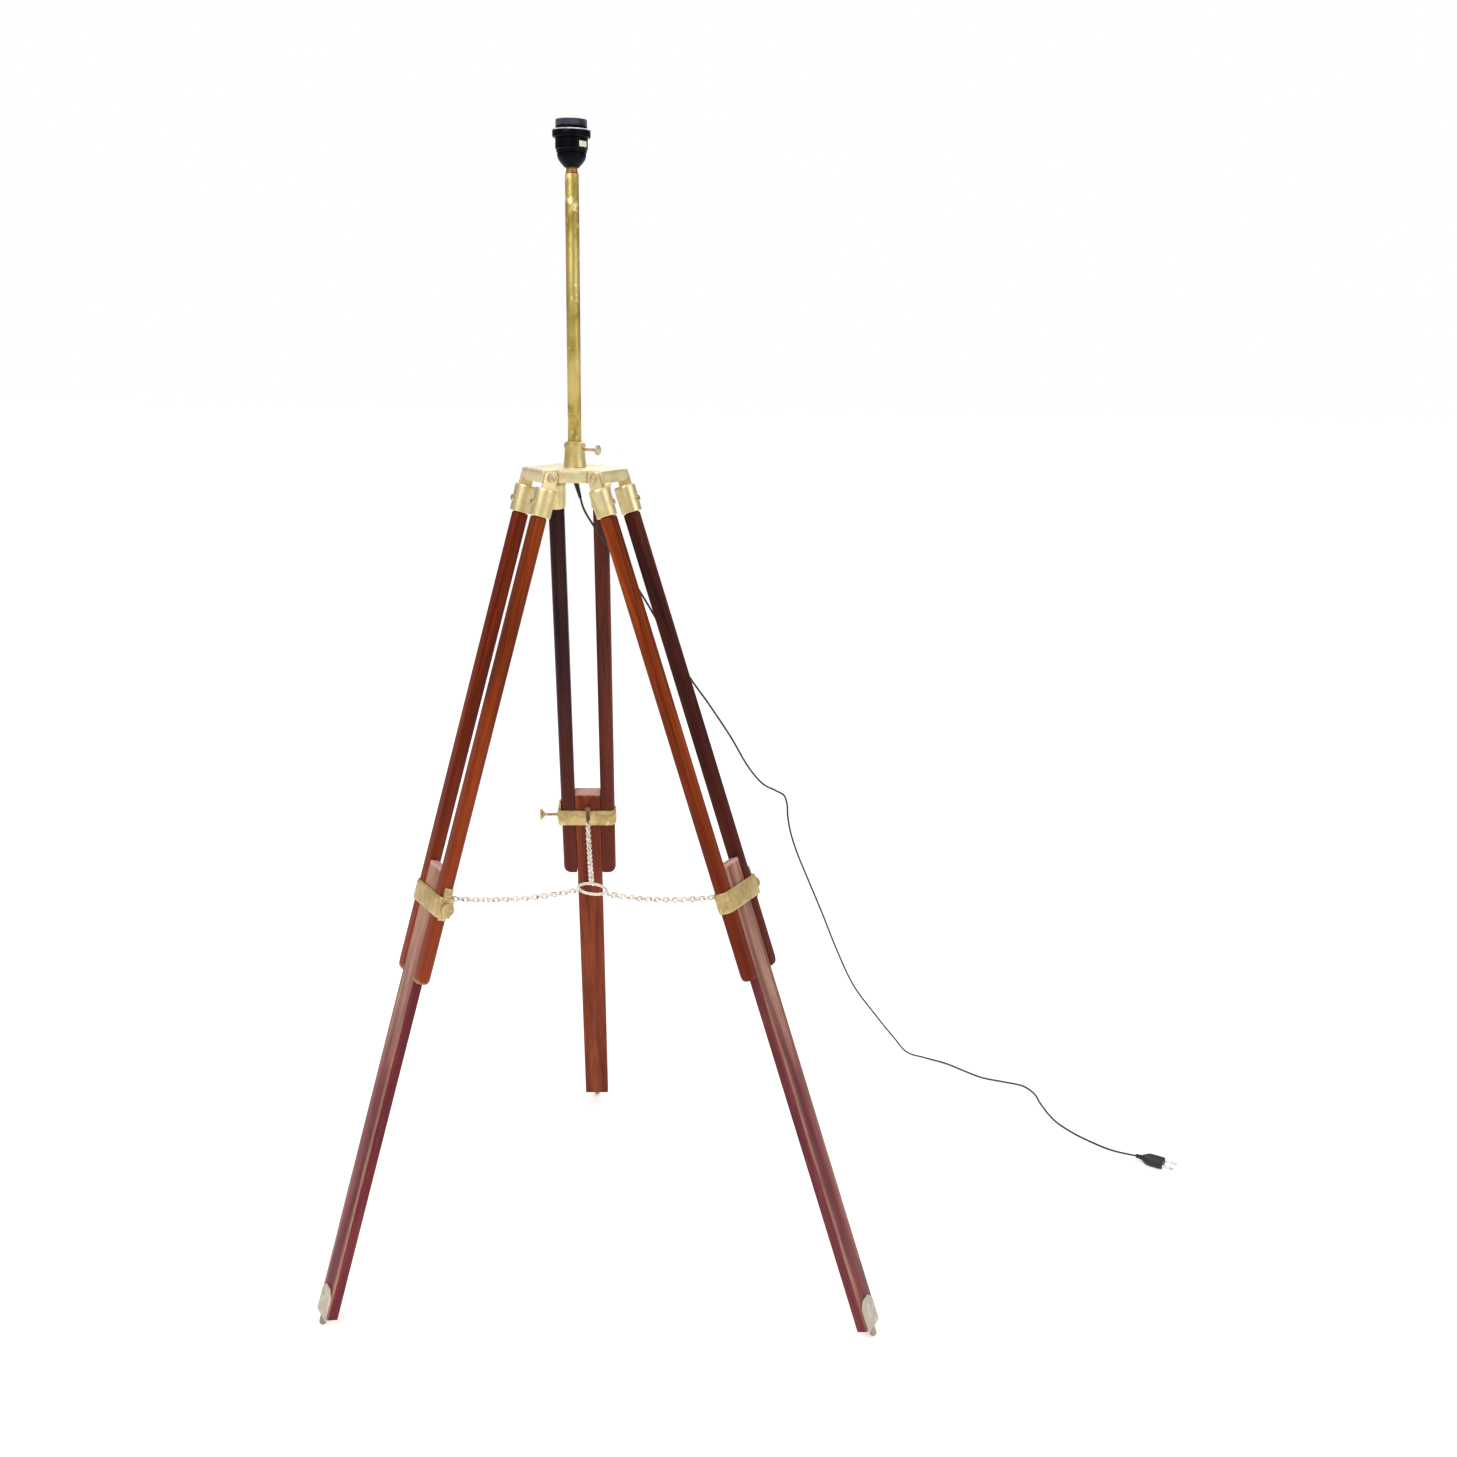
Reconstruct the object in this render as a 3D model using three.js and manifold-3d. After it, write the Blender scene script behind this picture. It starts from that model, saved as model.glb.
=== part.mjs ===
// A floor lamp on a surveyor's wooden tripod: brass head, pole and clamps, three two-part wooden legs,
// a spreader of three chains and a ring, a screw lampholder and its mains lead.
// Millimetres, +Z up, standing on z = 0, origin under the middle of the bounding box.
import * as THREE from "three";
import { mergeVertices } from "three/addons/utils/BufferGeometryUtils.js";
import Module from "manifold-3d";

const wasm = await Module();
wasm.setup();

// ---------- driving dimensions ----------
const GAP = 0.3; // between neighbouring pieces
const POLE_AXIS = { x: -31.6, y: -95.3 }; // the pole's place in plan
const HINGE_HEIGHT = 1136;
const HINGE_RADIUS = 51.5;
const LEGS = [
  { name: "leg_a", azimuth: 210, spread: 16.75, screwReach: 1.8 },
  { name: "leg_b", azimuth: 330, spread: 20.1, screwReach: 1.8 },
  { name: "leg_c", azimuth: 90, spread: 18.6, screwReach: 21 },
];

const SLIDER = { width: 39, thickness: 15, top: 528, chamfer: 4 };
const STAVE = { width: 21.5, thickness: 17, foot: 684, round: 7.5, ease: 2 };
const STAVE_X = SLIDER.width / 2 + GAP + STAVE.width / 2; // centre of a stave
const STAVE_EDGE = STAVE_X + STAVE.width / 2; // outer edge of a stave

const FERRULE = { topRadius: 14.4, footRadius: 13.5, bore: 8.5, top: 15, cap: 19, foot: 51 };
const BINDING_SCREW = { depth: 35, radius: 4.6, start: 12, shoulder: 15.4, crown: 17, crownRadius: 3 };
const TONGUE = { inner: 33, thickness: 4, halfWidth: 9 };
const PIVOT = { shaft: 2.9, hole: 3.2, head: 5.6, headHeight: 3.6, depth: 8 };

const STRAP = { centre: 574, halfHeight: 14, wall: 2.2, round: 7.5, padRound: 3, boss: 1.2 };
const PAD = { thickness: 3, halfWidth: 6, above: 26, below: 18 }; // above and below the strap's centre
const CLAMP_SCREW = { shaft: 2.5, hub: 5.4, hubLength: 3, knob: 8.7, knobLength: 3.4 };
const HOOK = { depth: 573, stand: 7.4, radius: 4.2, wire: 1.3 };

const PEG = { radius: 4.7, offset: 4.5, length: 16 };
const SHOE = { width: 34, height: 42, thickness: 1.8, corner: 9, tab: 1.6 };

const DECK = { top: 1146, thickness: 6, skirt: 16.5, wall: 5, bevel: 2.6 };
const KNUCKLE = { reach: 62, halfLength: 32.5, notch: 42, shortFace: 53 };
const POLE = { radius: 8.8, bore: 7.8, bottom: 1141.4, top: 1508 };
const COLLAR = { bore: 9.1, height: 33, screwHeight: 23, screwAzimuth: 330 };
const BUSH = { radius: 8.6, top: 1141, bottom: 1128.6, tail: 25 };

const HOLDER = { skirt: 19.9, body: 20.5, mouth: 1571, shoulder: 1549.4, joint: 1532.3, bore: 15.4 };
const SHADE_RING = { inner: 20.2, outer: 24.1, bottom: 1549.8, top: 1560 };

const RING = { x: 18, y: 1, z: 557, radius: 20, wire: 2, tilt: 8 };
const CHAIN = { radius: 4.2, sag: 7, eyeGap: 5, ringGap: 6.2 };

const CORD_RADIUS = 1.5;
const CORD_SIDES = 8;
const CORD_STEPS = 80;
const PLUG = { length: 34, width: 27, thickness: 13.6, pin: 2, pinLength: 19, pinSpacing: 9.3 };

// The lead's route from the strain relief to the plug, measured from the foot of the pole's axis:
// it hangs clear of the legs first, and then lies on the floor.
const CORD_ROUTE = [
  [6.5, 2.8, 1105.3],
  [10.6, 4.7, 1091],
  [24, 15, 1066],
  [84, 58, 972],
  [153, 110, 842],
  [182, 134, 796],
  [218, 162, 736],
  [245, 186, 685],
  [270, 210, 650],
  [292, 230, 633],
  [306, 243, 621],
  [311.5, 249.5, 604],
  [313, 252, 586],
  [318, 258, 559],
  [330, 273, 520],
  [354, 304, 458],
  [382, 334, 388],
  [414, 375, 304],
  [451, 422, 218],
  [497, 475, 140],
  [543, 523, 68],
  [576, 551, 22],
  [610, 564, 5],
  [648, 546, 2.1],
  [678, 516, 1.8],
  [706, 490, 1.8],
  [744, 473, 1.8],
  [774, 458, 1.8],
  [788, 430, 1.8],
  [791, 392, 1.8],
  [801, 334, 1.8],
  [822, 292, 1.8],
  [846, 261, 1.8],
  [873, 232, 3],
  [896, 215, 5.4],
  [906, 208.4, 6.8],
];

// ---------- materials ----------
function material(color, roughness, metalness) {
  return new THREE.MeshStandardMaterial({ color, roughness, metalness });
}

const BRASS = material(0xc9ac62, 0.38, 0.9);
const AGED_BRASS = material(0x9c8244, 0.42, 0.9);
const STRAP_BRASS = material(0x9a8a52, 0.5, 0.85);
const COPPER_BRASS = material(0xb98562, 0.4, 0.9);
const NICKEL = material(0xd9cfc4, 0.35, 0.9);
const STAVE_WOOD = material(0x7a3216, 0.45, 0);
const SLIDER_WOOD = material(0x6a2a24, 0.5, 0);
const BAKELITE = material(0x14121a, 0.3, 0);
const CERAMIC = material(0xe6e0d2, 0.4, 0);
const STEEL = material(0xa9a396, 0.45, 0.85);
const RUBBER = material(0x1a1a1a, 0.6, 0);

// ---------- solids ----------
function solid(geometry) {
  const plain = geometry.clone();
  plain.deleteAttribute("normal");
  plain.deleteAttribute("uv");
  const merged = mergeVertices(plain, 1e-4);
  const vertProperties = new Float32Array(merged.attributes.position.array);
  const triVerts = new Uint32Array(merged.index.array);
  const made = new wasm.Manifold(new wasm.Mesh({ numProp: 3, vertProperties, triVerts }));
  if (made.volume() > 0) return made;
  for (let i = 0; i < triVerts.length; i += 3) {
    [triVerts[i + 1], triVerts[i + 2]] = [triVerts[i + 2], triVerts[i + 1]];
  }
  return new wasm.Manifold(new wasm.Mesh({ numProp: 3, vertProperties, triVerts }));
}

function geometryOf(body) {
  const { numProp, vertProperties, triVerts } = body.getMesh();
  const position = new Float32Array((vertProperties.length / numProp) * 3);
  for (let i = 0; i < position.length / 3; i += 1) {
    position.set(vertProperties.subarray(i * numProp, i * numProp + 3), i * 3);
  }
  const geometry = new THREE.BufferGeometry();
  geometry.setAttribute("position", new THREE.BufferAttribute(position, 3));
  geometry.setIndex(new THREE.BufferAttribute(new Uint32Array(triVerts), 1));
  const faceted = geometry.toNonIndexed();
  faceted.computeVertexNormals();
  return faceted;
}

function combine(base, { add = [], cut = [] }) {
  let body = solid(base);
  for (const piece of add) body = body.add(solid(piece));
  for (const piece of cut) body = body.subtract(solid(piece));
  return geometryOf(body);
}

function box(width, depth, height, x = 0, y = 0, z = 0) {
  return new THREE.BoxGeometry(width, depth, height).translate(x, y, z);
}

// A cylinder or cone along Z between two heights.
function rodZ(bottomRadius, topRadius, bottom, top, sides = 20) {
  const height = top - bottom;
  return new THREE.CylinderGeometry(topRadius, bottomRadius, height, sides)
    .rotateX(Math.PI / 2)
    .translate(0, 0, bottom + height / 2);
}

// A cylinder along X between two places.
function rodX(radius, from, to, sides = 16) {
  const length = Math.abs(to - from);
  return new THREE.CylinderGeometry(radius, radius, length, sides)
    .rotateZ(Math.PI / 2)
    .translate((from + to) / 2, 0, 0);
}

// A closed [radius, height] profile turned about Z.
function turned(profile, sides = 32) {
  const points = profile.map(([radius, height]) => new THREE.Vector2(radius, height));
  points.push(points[0].clone());
  return solidGeometry(new THREE.LatheGeometry(points, sides).rotateX(Math.PI / 2));
}

// The same surface with its faces pointing out.
function solidGeometry(geometry) {
  return geometryOf(solid(geometry));
}

function tube(outer, inner, bottom, top, sides = 32) {
  return turned([[inner, bottom], [outer, bottom], [outer, top], [inner, top]], sides);
}

function outline(points) {
  return new THREE.Shape(points.map(([x, y]) => new THREE.Vector2(x, y)));
}

// A rectangle about a centre, with its own corner radii on the -X side and on the +X side.
function roundedRectangle(width, height, leftRound, rightRound, x = 0) {
  const left = x - width / 2;
  const right = x + width / 2;
  const half = height / 2;
  const shape = new THREE.Shape();
  shape.moveTo(left + leftRound, -half);
  shape.lineTo(right - rightRound, -half);
  shape.absarc(right - rightRound, -half + rightRound, rightRound, -Math.PI / 2, 0, false);
  shape.lineTo(right, half - rightRound);
  shape.absarc(right - rightRound, half - rightRound, rightRound, 0, Math.PI / 2, false);
  shape.lineTo(left + leftRound, half);
  shape.absarc(left + leftRound, half - leftRound, leftRound, Math.PI / 2, Math.PI, false);
  shape.lineTo(left, -half + leftRound);
  shape.absarc(left + leftRound, -half + leftRound, leftRound, Math.PI, Math.PI * 1.5, false);
  return shape;
}

function extruded(shape, bottom, top, curveSegments = 5) {
  const depth = top - bottom;
  const settings = { depth, bevelEnabled: false, curveSegments };
  return new THREE.ExtrudeGeometry(shape, settings).translate(0, 0, bottom);
}

// A tube of many flat sides swept along a curve, closed at both ends.
function sweptTube(curve, radius, steps, sides) {
  const section = new THREE.Shape(
    Array.from({ length: sides }, (_, i) => {
      const angle = (i / sides) * Math.PI * 2;
      return new THREE.Vector2(Math.cos(angle) * radius, Math.sin(angle) * radius);
    }),
  );
  return new THREE.ExtrudeGeometry(section, { steps, bevelEnabled: false, extrudePath: curve });
}

function piece(parent, name, geometry, finish) {
  const mesh = new THREE.Mesh(geometry, finish);
  mesh.name = name;
  parent.add(mesh);
  return mesh;
}

// ---------- head ----------
function inPlan(azimuth, radial, tangential) {
  const a = THREE.MathUtils.degToRad(azimuth);
  return [
    radial * Math.cos(a) - tangential * Math.sin(a),
    radial * Math.sin(a) + tangential * Math.cos(a),
  ];
}

function turnedInPlan(geometry, azimuth) {
  return geometry.rotateZ(THREE.MathUtils.degToRad(azimuth));
}

function headPlate() {
  const cos60 = 0.5;
  const sin60 = Math.sqrt(3) / 2;
  const faceEnd = (KNUCKLE.shortFace - KNUCKLE.notch * cos60) / sin60; // where a notch meets a short face
  const corners = [
    [KNUCKLE.notch, -faceEnd],
    [KNUCKLE.notch, -KNUCKLE.halfLength],
    [KNUCKLE.reach, -KNUCKLE.halfLength],
    [KNUCKLE.reach, KNUCKLE.halfLength],
    [KNUCKLE.notch, KNUCKLE.halfLength],
    [KNUCKLE.notch, faceEnd],
  ];
  const azimuths = [90, 210, 330];
  const rim = azimuths.flatMap((azimuth) => corners.map(([r, t]) => inPlan(azimuth, r, t)));
  const bevel = DECK.bevel;
  const block = new THREE.ExtrudeGeometry(outline(rim), {
    depth: DECK.skirt - bevel,
    bevelThickness: bevel,
    bevelSize: bevel,
    bevelOffset: -bevel,
    bevelSegments: 3,
  }).translate(0, 0, DECK.top - DECK.skirt);
  const underside = DECK.top - DECK.skirt;
  const ceiling = DECK.top - DECK.thickness;
  const below = box(200, 200, 20, 0, 0, underside - 10);
  const cut = [below, rodZ(COLLAR.bore, COLLAR.bore, underside, DECK.top + 1)];
  const cavityHeight = ceiling - underside + 1;
  const cavityZ = (ceiling + underside - 1) / 2;
  const cavity = (reach, halfWidth) => {
    const length = reach - DECK.wall;
    return box(length, (halfWidth - DECK.wall) * 2, cavityHeight, length / 2, 0, cavityZ);
  };
  const shortHalfWidth = KNUCKLE.notch * sin60 - faceEnd * cos60;
  const cavities = [];
  for (const azimuth of azimuths) {
    cavities.push(turnedInPlan(cavity(KNUCKLE.reach, KNUCKLE.halfLength), azimuth));
    cavities.push(turnedInPlan(cavity(KNUCKLE.shortFace, shortHalfWidth), azimuth + 60));
    const pivotLine = rodX(PIVOT.hole, -60, 60).translate(0, HINGE_RADIUS, HINGE_HEIGHT);
    cut.push(turnedInPlan(pivotLine, azimuth - 90));
  }
  const boss = rodZ(14.5, 15.5, BUSH.bottom, DECK.top - 1);
  const hollow = combine(cavities[0], { add: cavities.slice(1), cut: [boss] });
  return combine(block, { cut: [hollow, ...cut] });
}

function poleCollar() {
  const base = DECK.top + GAP;
  const { bore, height, screwHeight, screwAzimuth } = COLLAR;
  const profile = [
    [bore, 0],
    [14.7, 0],
    [14.4, 3],
    [13.3, 22],
    [13.2, 24],
    [14, 25.4],
    [14, 28.6],
    [13, 29.4],
    [13.4, 30.4],
    [12.6, 31.6],
    [10.4, 32.2],
    [10.2, height],
    [bore, height],
  ];
  const body = turned(profile).translate(0, 0, base);
  const hole = rodX(2.3, 0, 40).translate(0, 0, base + screwHeight);
  return combine(body, { cut: [turnedInPlan(hole, screwAzimuth)] });
}

function collarThumbscrew() {
  const shaft = rodX(2, 9.3, 32);
  const hub = rodX(3.4, 31, 34.6);
  const knob = rodX(6.5, 34.2, 37.4, 24);
  const screw = combine(shaft, { add: [hub, knob] });
  return turnedInPlan(screw, COLLAR.screwAzimuth).translate(0, 0, DECK.top + GAP + COLLAR.screwHeight);
}

// The bush fills the collar's bore under the pole, and its tail leads the cord out sideways.
function cordBush() {
  const plug = rodZ(BUSH.radius, BUSH.radius, BUSH.bottom, BUSH.top);
  const tail = new THREE.CylinderGeometry(3.8, 2.2, BUSH.tail, 16)
    .rotateX(Math.PI / 2)
    .translate(0, 0, -BUSH.tail / 2)
    .rotateY(THREE.MathUtils.degToRad(-16))
    .rotateZ(THREE.MathUtils.degToRad(23))
    .translate(0, 0, BUSH.bottom + 1.2);
  return combine(plug, { add: [tail] });
}

function pivotScrew(side) {
  const seat = TONGUE.inner + TONGUE.thickness + GAP;
  const shaft = rodX(PIVOT.shaft, seat - TONGUE.thickness - PIVOT.depth, seat + 1, 16);
  const head = rodX(PIVOT.head, seat, seat + PIVOT.headHeight);
  return combine(shaft, { add: [head] }).rotateY(side > 0 ? 0 : Math.PI);
}

// ---------- pole and lampholder ----------
function nipple() {
  return turned([
    [3.2, POLE.top - 12],
    [POLE.bore - GAP, POLE.top - 12],
    [POLE.bore - GAP, POLE.top - GAP],
    [5.8, POLE.top - GAP],
    [5.8, POLE.top + GAP],
    [7.8, POLE.top + GAP],
    [7.2, POLE.top + 3],
    [7.2, POLE.top + 11],
    [3.2, POLE.top + 11],
  ], 24);
}

function holderCap() {
  const base = POLE.top + 7;
  const joint = HOLDER.joint - GAP;
  return turned([
    [7.5, base],
    [9.4, base],
    [13.2, base + 4.6],
    [16.6, base + 9],
    [17.6, base + 12],
    [18, joint],
    [15.8, joint],
    [15.4, base + 11.4],
    [12.4, base + 6.6],
    [7.5, base + 3.4],
  ]);
}

function holderBody() {
  const { skirt, body, mouth, shoulder, joint, bore } = HOLDER;
  return turned([
    [bore, joint],
    [body - 0.4, joint],
    [body, joint + 0.6],
    [body, shoulder],
    [skirt, shoulder],
    [skirt, mouth - 0.6],
    [skirt - 0.6, mouth],
    [bore, mouth],
  ]);
}

function shadeRing() {
  const { inner, outer, bottom, top } = SHADE_RING;
  return turned([
    [inner, bottom],
    [outer - 0.8, bottom],
    [outer, bottom + 0.8],
    [outer, top - 0.6],
    [outer - 0.6, top],
    [inner, top],
  ]);
}

// ---------- legs ----------
// Local Z runs up the leg from the hinge, local Y outwards and local X along the hinge.
function stave() {
  const section = roundedRectangle(STAVE.width, STAVE.thickness, STAVE.ease, STAVE.round, STAVE_X);
  const shaft = extruded(section, -STAVE.foot, -FERRULE.foot - GAP);
  const tenon = rodZ(FERRULE.bore - GAP, FERRULE.bore - GAP, -FERRULE.foot - 2, -FERRULE.cap - GAP);
  return combine(shaft, { add: [tenon.translate(STAVE_X, 0, 0)] });
}

// The head of the screw that binds a ferrule to its stave, on the leg's outer side.
function bindingScrew() {
  const { depth, radius, start, shoulder, crown, crownRadius } = BINDING_SCREW;
  const shank = rodZ(radius, radius, start, shoulder);
  const dome = rodZ(radius, crownRadius, shoulder - 0.01, crown);
  return [shank, dome].map((form) => form.rotateX(-Math.PI / 2).translate(STAVE_X, 0, -depth));
}

function ferrule() {
  const { topRadius, footRadius, bore, top, cap, foot } = FERRULE;
  const shell = rodZ(footRadius, topRadius, -foot, -top, 24).translate(STAVE_X, 0, 0);
  const socket = rodZ(bore, bore, -foot - 1, -cap, 24).translate(STAVE_X, 0, 0);
  const tongueX = TONGUE.inner + TONGUE.thickness / 2;
  const blade = box(TONGUE.thickness, TONGUE.halfWidth * 2, top + 2, tongueX, 0, -top / 2 - 1);
  const eye = rodX(TONGUE.halfWidth, TONGUE.inner, TONGUE.inner + TONGUE.thickness, 20);
  const hole = rodX(PIVOT.hole, 0, 60);
  return combine(shell, { add: [blade, eye, ...bindingScrew()], cut: [socket, hole] });
}

function mirroredX(geometry) {
  return solidGeometry(geometry.clone().scale(-1, 1, 1));
}

// The slider's top has a chamfer on its inner edge.
function slider(bottom) {
  const { width, thickness, top, chamfer } = SLIDER;
  const section = roundedRectangle(width, thickness, 1, 1);
  const side = chamfer * Math.SQRT2;
  const corner = box(width + 2, side, side).rotateX(Math.PI / 4).translate(0, -thickness / 2, -top);
  return combine(extruded(section, -bottom, -top, 2), { cut: [corner] });
}

function footShoe(bottom) {
  const { width, height, thickness, corner, tab } = SHOE;
  const half = width / 2;
  const outer = outline([
    [-half, 0],
    [half, 0],
    [half, height - corner],
    [half - corner, height],
    [-half + corner, height],
    [-half, height - corner],
  ]);
  const face = SLIDER.thickness / 2 + GAP;
  const plate = extruded(outer, 0, thickness)
    .rotateX(Math.PI / 2)
    .translate(0, face + thickness, -bottom - GAP - tab);
  const front = face + thickness;
  const under = box(width * 0.6, front + 2, tab, 0, front / 2 - 1, -bottom - GAP - tab / 2);
  return combine(plate, { add: [under] });
}

function footPeg(bottom) {
  const top = -bottom - SHOE.tab - GAP * 2;
  const centre = -bottom - PEG.length + PEG.radius;
  const shaft = rodZ(PEG.radius, PEG.radius, centre, top);
  const tip = new THREE.SphereGeometry(PEG.radius, 20, 10).rotateX(Math.PI / 2).translate(0, 0, centre);
  return combine(shaft, { add: [tip] }).translate(0, PEG.offset, 0);
}

// The strap has room for the pressure pad on its -X side.
function clampStrap() {
  const { centre, halfHeight, wall, round, padRound } = STRAP;
  const left = -STAVE_EDGE - PAD.thickness - GAP * 2;
  const right = STAVE_EDGE + GAP;
  const width = right - left;
  const depth = STAVE.thickness + GAP * 2;
  const middle = (left + right) / 2;
  const band = roundedRectangle(width + wall * 2, depth + wall * 2, padRound + wall, round + wall, middle);
  const hollow = roundedRectangle(width, depth, padRound, round, middle);
  const boss = rodX(5.6, left - wall - STRAP.boss, left - 1, 20).translate(0, 0, -centre);
  const hole = rodX(CLAMP_SCREW.shaft + GAP, left - 20, left + 2).translate(0, 0, -centre);
  return combine(extruded(band, -centre - halfHeight, -centre + halfHeight), {
    add: [boss],
    cut: [extruded(hollow, -centre - halfHeight - 1, -centre + halfHeight + 1), hole],
  });
}

function clampPad() {
  const { thickness, halfWidth, above, below } = PAD;
  const x = -STAVE_EDGE - GAP - thickness / 2;
  return box(thickness, halfWidth * 2, above + below, x, 0, -STRAP.centre + (above - below) / 2);
}

function clampScrew(reach) {
  const { shaft, hub, hubLength, knob, knobLength } = CLAMP_SCREW;
  const tip = -STAVE_EDGE - PAD.thickness - GAP * 2;
  const knobStart = tip - STRAP.wall - reach;
  const rod = rodX(shaft, tip, knobStart - 1, 16);
  const collar = rodX(hub, knobStart, knobStart - hubLength, 20);
  const disc = rodX(knob, knobStart - hubLength, knobStart - hubLength - knobLength, 24);
  return combine(rod, { add: [collar, disc] }).translate(0, 0, -STRAP.centre);
}

// A riveted tongue over the strap's inner face with the eye that holds the chain.
function chainHook() {
  const back = -STAVE.thickness / 2 - GAP * 2 - STRAP.wall;
  const top = -STRAP.centre + STRAP.halfHeight + 9;
  const bottom = -HOOK.depth - 4;
  const tongue = box(6, 1.8, top - bottom, 0, back - 0.9, (top + bottom) / 2);
  const rivet = new THREE.CylinderGeometry(3.6, 3.6, 2.4, 16).translate(0, back - 2.4, top - 3);
  const eye = new THREE.TorusGeometry(HOOK.radius, HOOK.wire, 6, 16).rotateY(Math.PI / 2);
  return combine(tongue, { add: [rivet, eye.translate(0, back - HOOK.stand + 1.2, -HOOK.depth)] });
}

const EYE = new THREE.Vector3(
  0,
  -STAVE.thickness / 2 - GAP * 2 - STRAP.wall - HOOK.stand - HOOK.radius + 1.2,
  -HOOK.depth,
);

function buildLeg(parent, { name, azimuth, spread, screwReach }) {
  const lean = THREE.MathUtils.degToRad(spread);
  const turn = new THREE.Group();
  turn.rotation.z = THREE.MathUtils.degToRad(azimuth - 90);
  parent.add(turn);
  const hinge = new THREE.Group();
  hinge.position.set(0, HINGE_RADIUS, HINGE_HEIGHT);
  turn.add(hinge);
  const leg = new THREE.Group();
  leg.rotation.x = lean;
  hinge.add(leg);

  piece(hinge, `${name}_pivot_screw_left`, pivotScrew(-1), COPPER_BRASS);
  piece(hinge, `${name}_pivot_screw_right`, pivotScrew(1), COPPER_BRASS);

  const rightStave = stave();
  const rightFerrule = ferrule();
  piece(leg, `${name}_stave_right`, rightStave, STAVE_WOOD);
  piece(leg, `${name}_stave_left`, mirroredX(rightStave), STAVE_WOOD);
  piece(leg, `${name}_ferrule_right`, rightFerrule, BRASS);
  piece(leg, `${name}_ferrule_left`, mirroredX(rightFerrule), BRASS);

  // The peg's round tip touches the floor, which sets how far the slider is drawn out.
  const tipCentre = (HINGE_HEIGHT + PEG.offset * Math.sin(lean) - PEG.radius) / Math.cos(lean);
  const woodEnd = tipCentre + PEG.radius - PEG.length;
  piece(leg, `${name}_slider`, slider(woodEnd), SLIDER_WOOD);
  piece(leg, `${name}_foot_shoe`, footShoe(woodEnd), STEEL);
  piece(leg, `${name}_foot_peg`, footPeg(woodEnd), STEEL);

  piece(leg, `${name}_clamp_strap`, clampStrap(), STRAP_BRASS);
  piece(leg, `${name}_clamp_pad`, clampPad(), BRASS);
  piece(leg, `${name}_clamp_screw`, clampScrew(screwReach), BRASS);
  piece(leg, `${name}_chain_hook`, chainHook(), COPPER_BRASS);
  return leg;
}

// ---------- spreader ----------
function spreaderRing(parent) {
  const { radius, wire, tilt, x, y, z } = RING;
  const ring = piece(parent, "spreader_ring", new THREE.TorusGeometry(radius, wire, 8, 32), NICKEL);
  ring.rotation.y = THREE.MathUtils.degToRad(tilt);
  ring.position.set(x, y, z);
  return ring;
}

function spreaderChain(parent, name, leg, ring) {
  const eye = leg.localToWorld(EYE.clone());
  const inRing = ring.worldToLocal(eye.clone()).setZ(0).setLength(RING.radius);
  const wire = ring.localToWorld(inRing);
  const along = wire.clone().sub(eye).normalize();
  const start = eye.clone().addScaledVector(along, CHAIN.eyeGap);
  const end = wire.clone().addScaledVector(along, -CHAIN.ringGap);
  const middle = start.clone().lerp(end, 0.5);
  middle.z -= CHAIN.sag * 2;
  const curve = new THREE.QuadraticBezierCurve3(start, middle, end);
  piece(parent, name, sweptTube(curve, CHAIN.radius, 10, 8), NICKEL);
}

// ---------- lead and plug ----------
function addLead(parent) {
  const route = CORD_ROUTE.map(([x, y, z]) => new THREE.Vector3(x, y, z));
  const curve = new THREE.CatmullRomCurve3(route, false, "centripetal");
  piece(parent, "mains_cord", sweptTube(curve, CORD_RADIUS, CORD_STEPS, CORD_SIDES), RUBBER);

  const [beforeLast, last] = route.slice(-2);
  const plug = new THREE.Group();
  plug.position.set(last.x, last.y, PLUG.thickness / 2);
  plug.rotation.z = Math.atan2(last.y - beforeLast.y, last.x - beforeLast.x);
  parent.add(plug);
  const { length, width, thickness, pin, pinLength, pinSpacing } = PLUG;
  const neck = 12;
  const body = outline([
    [GAP, -3.4],
    [neck, -5],
    [neck + 9, -width / 2],
    [neck + length, -width / 2],
    [neck + length, width / 2],
    [neck + 9, width / 2],
    [neck, 5],
    [GAP, 3.4],
  ]);
  const shell = extruded(body, -thickness / 2, thickness / 2);
  piece(plug, "plug_body", solidGeometry(shell), RUBBER);
  for (const [name, side] of [["plug_pin_left", 1], ["plug_pin_right", -1]]) {
    const start = neck + length + GAP;
    const rod = rodX(pin, start, start + pinLength, 16).translate(0, side * pinSpacing, 0);
    piece(plug, name, rod, NICKEL);
  }
}

// ---------- assembly ----------
const lamp = new THREE.Group();
const onAxis = new THREE.Group();
onAxis.position.set(POLE_AXIS.x, POLE_AXIS.y, 0);
lamp.add(onAxis);

piece(onAxis, "head_plate", headPlate(), BRASS);
piece(onAxis, "pole_collar", poleCollar(), BRASS);
piece(onAxis, "collar_thumbscrew", collarThumbscrew(), COPPER_BRASS);
piece(onAxis, "cord_bush", cordBush(), RUBBER);

piece(onAxis, "brass_pole", tube(POLE.radius, POLE.bore, POLE.bottom, POLE.top), AGED_BRASS);
piece(onAxis, "pole_lead", rodZ(2.5, 2.5, POLE.bottom, HOLDER.joint, 12), RUBBER);
piece(onAxis, "pole_nipple", nipple(), COPPER_BRASS);
piece(onAxis, "holder_cap", holderCap(), BAKELITE);
piece(onAxis, "holder_body", holderBody(), BAKELITE);
piece(onAxis, "holder_insert", rodZ(15, 15, HOLDER.joint + GAP, HOLDER.joint + 9, 32), CERAMIC);
piece(onAxis, "screw_shell", tube(14.3, 13.7, HOLDER.joint + 9.3, HOLDER.mouth - 4), BRASS);
piece(onAxis, "centre_contact", rodZ(4.5, 3.5, HOLDER.joint + 9.3, HOLDER.joint + 13, 16), BRASS);
piece(onAxis, "shade_ring", shadeRing(), BAKELITE);

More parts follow.
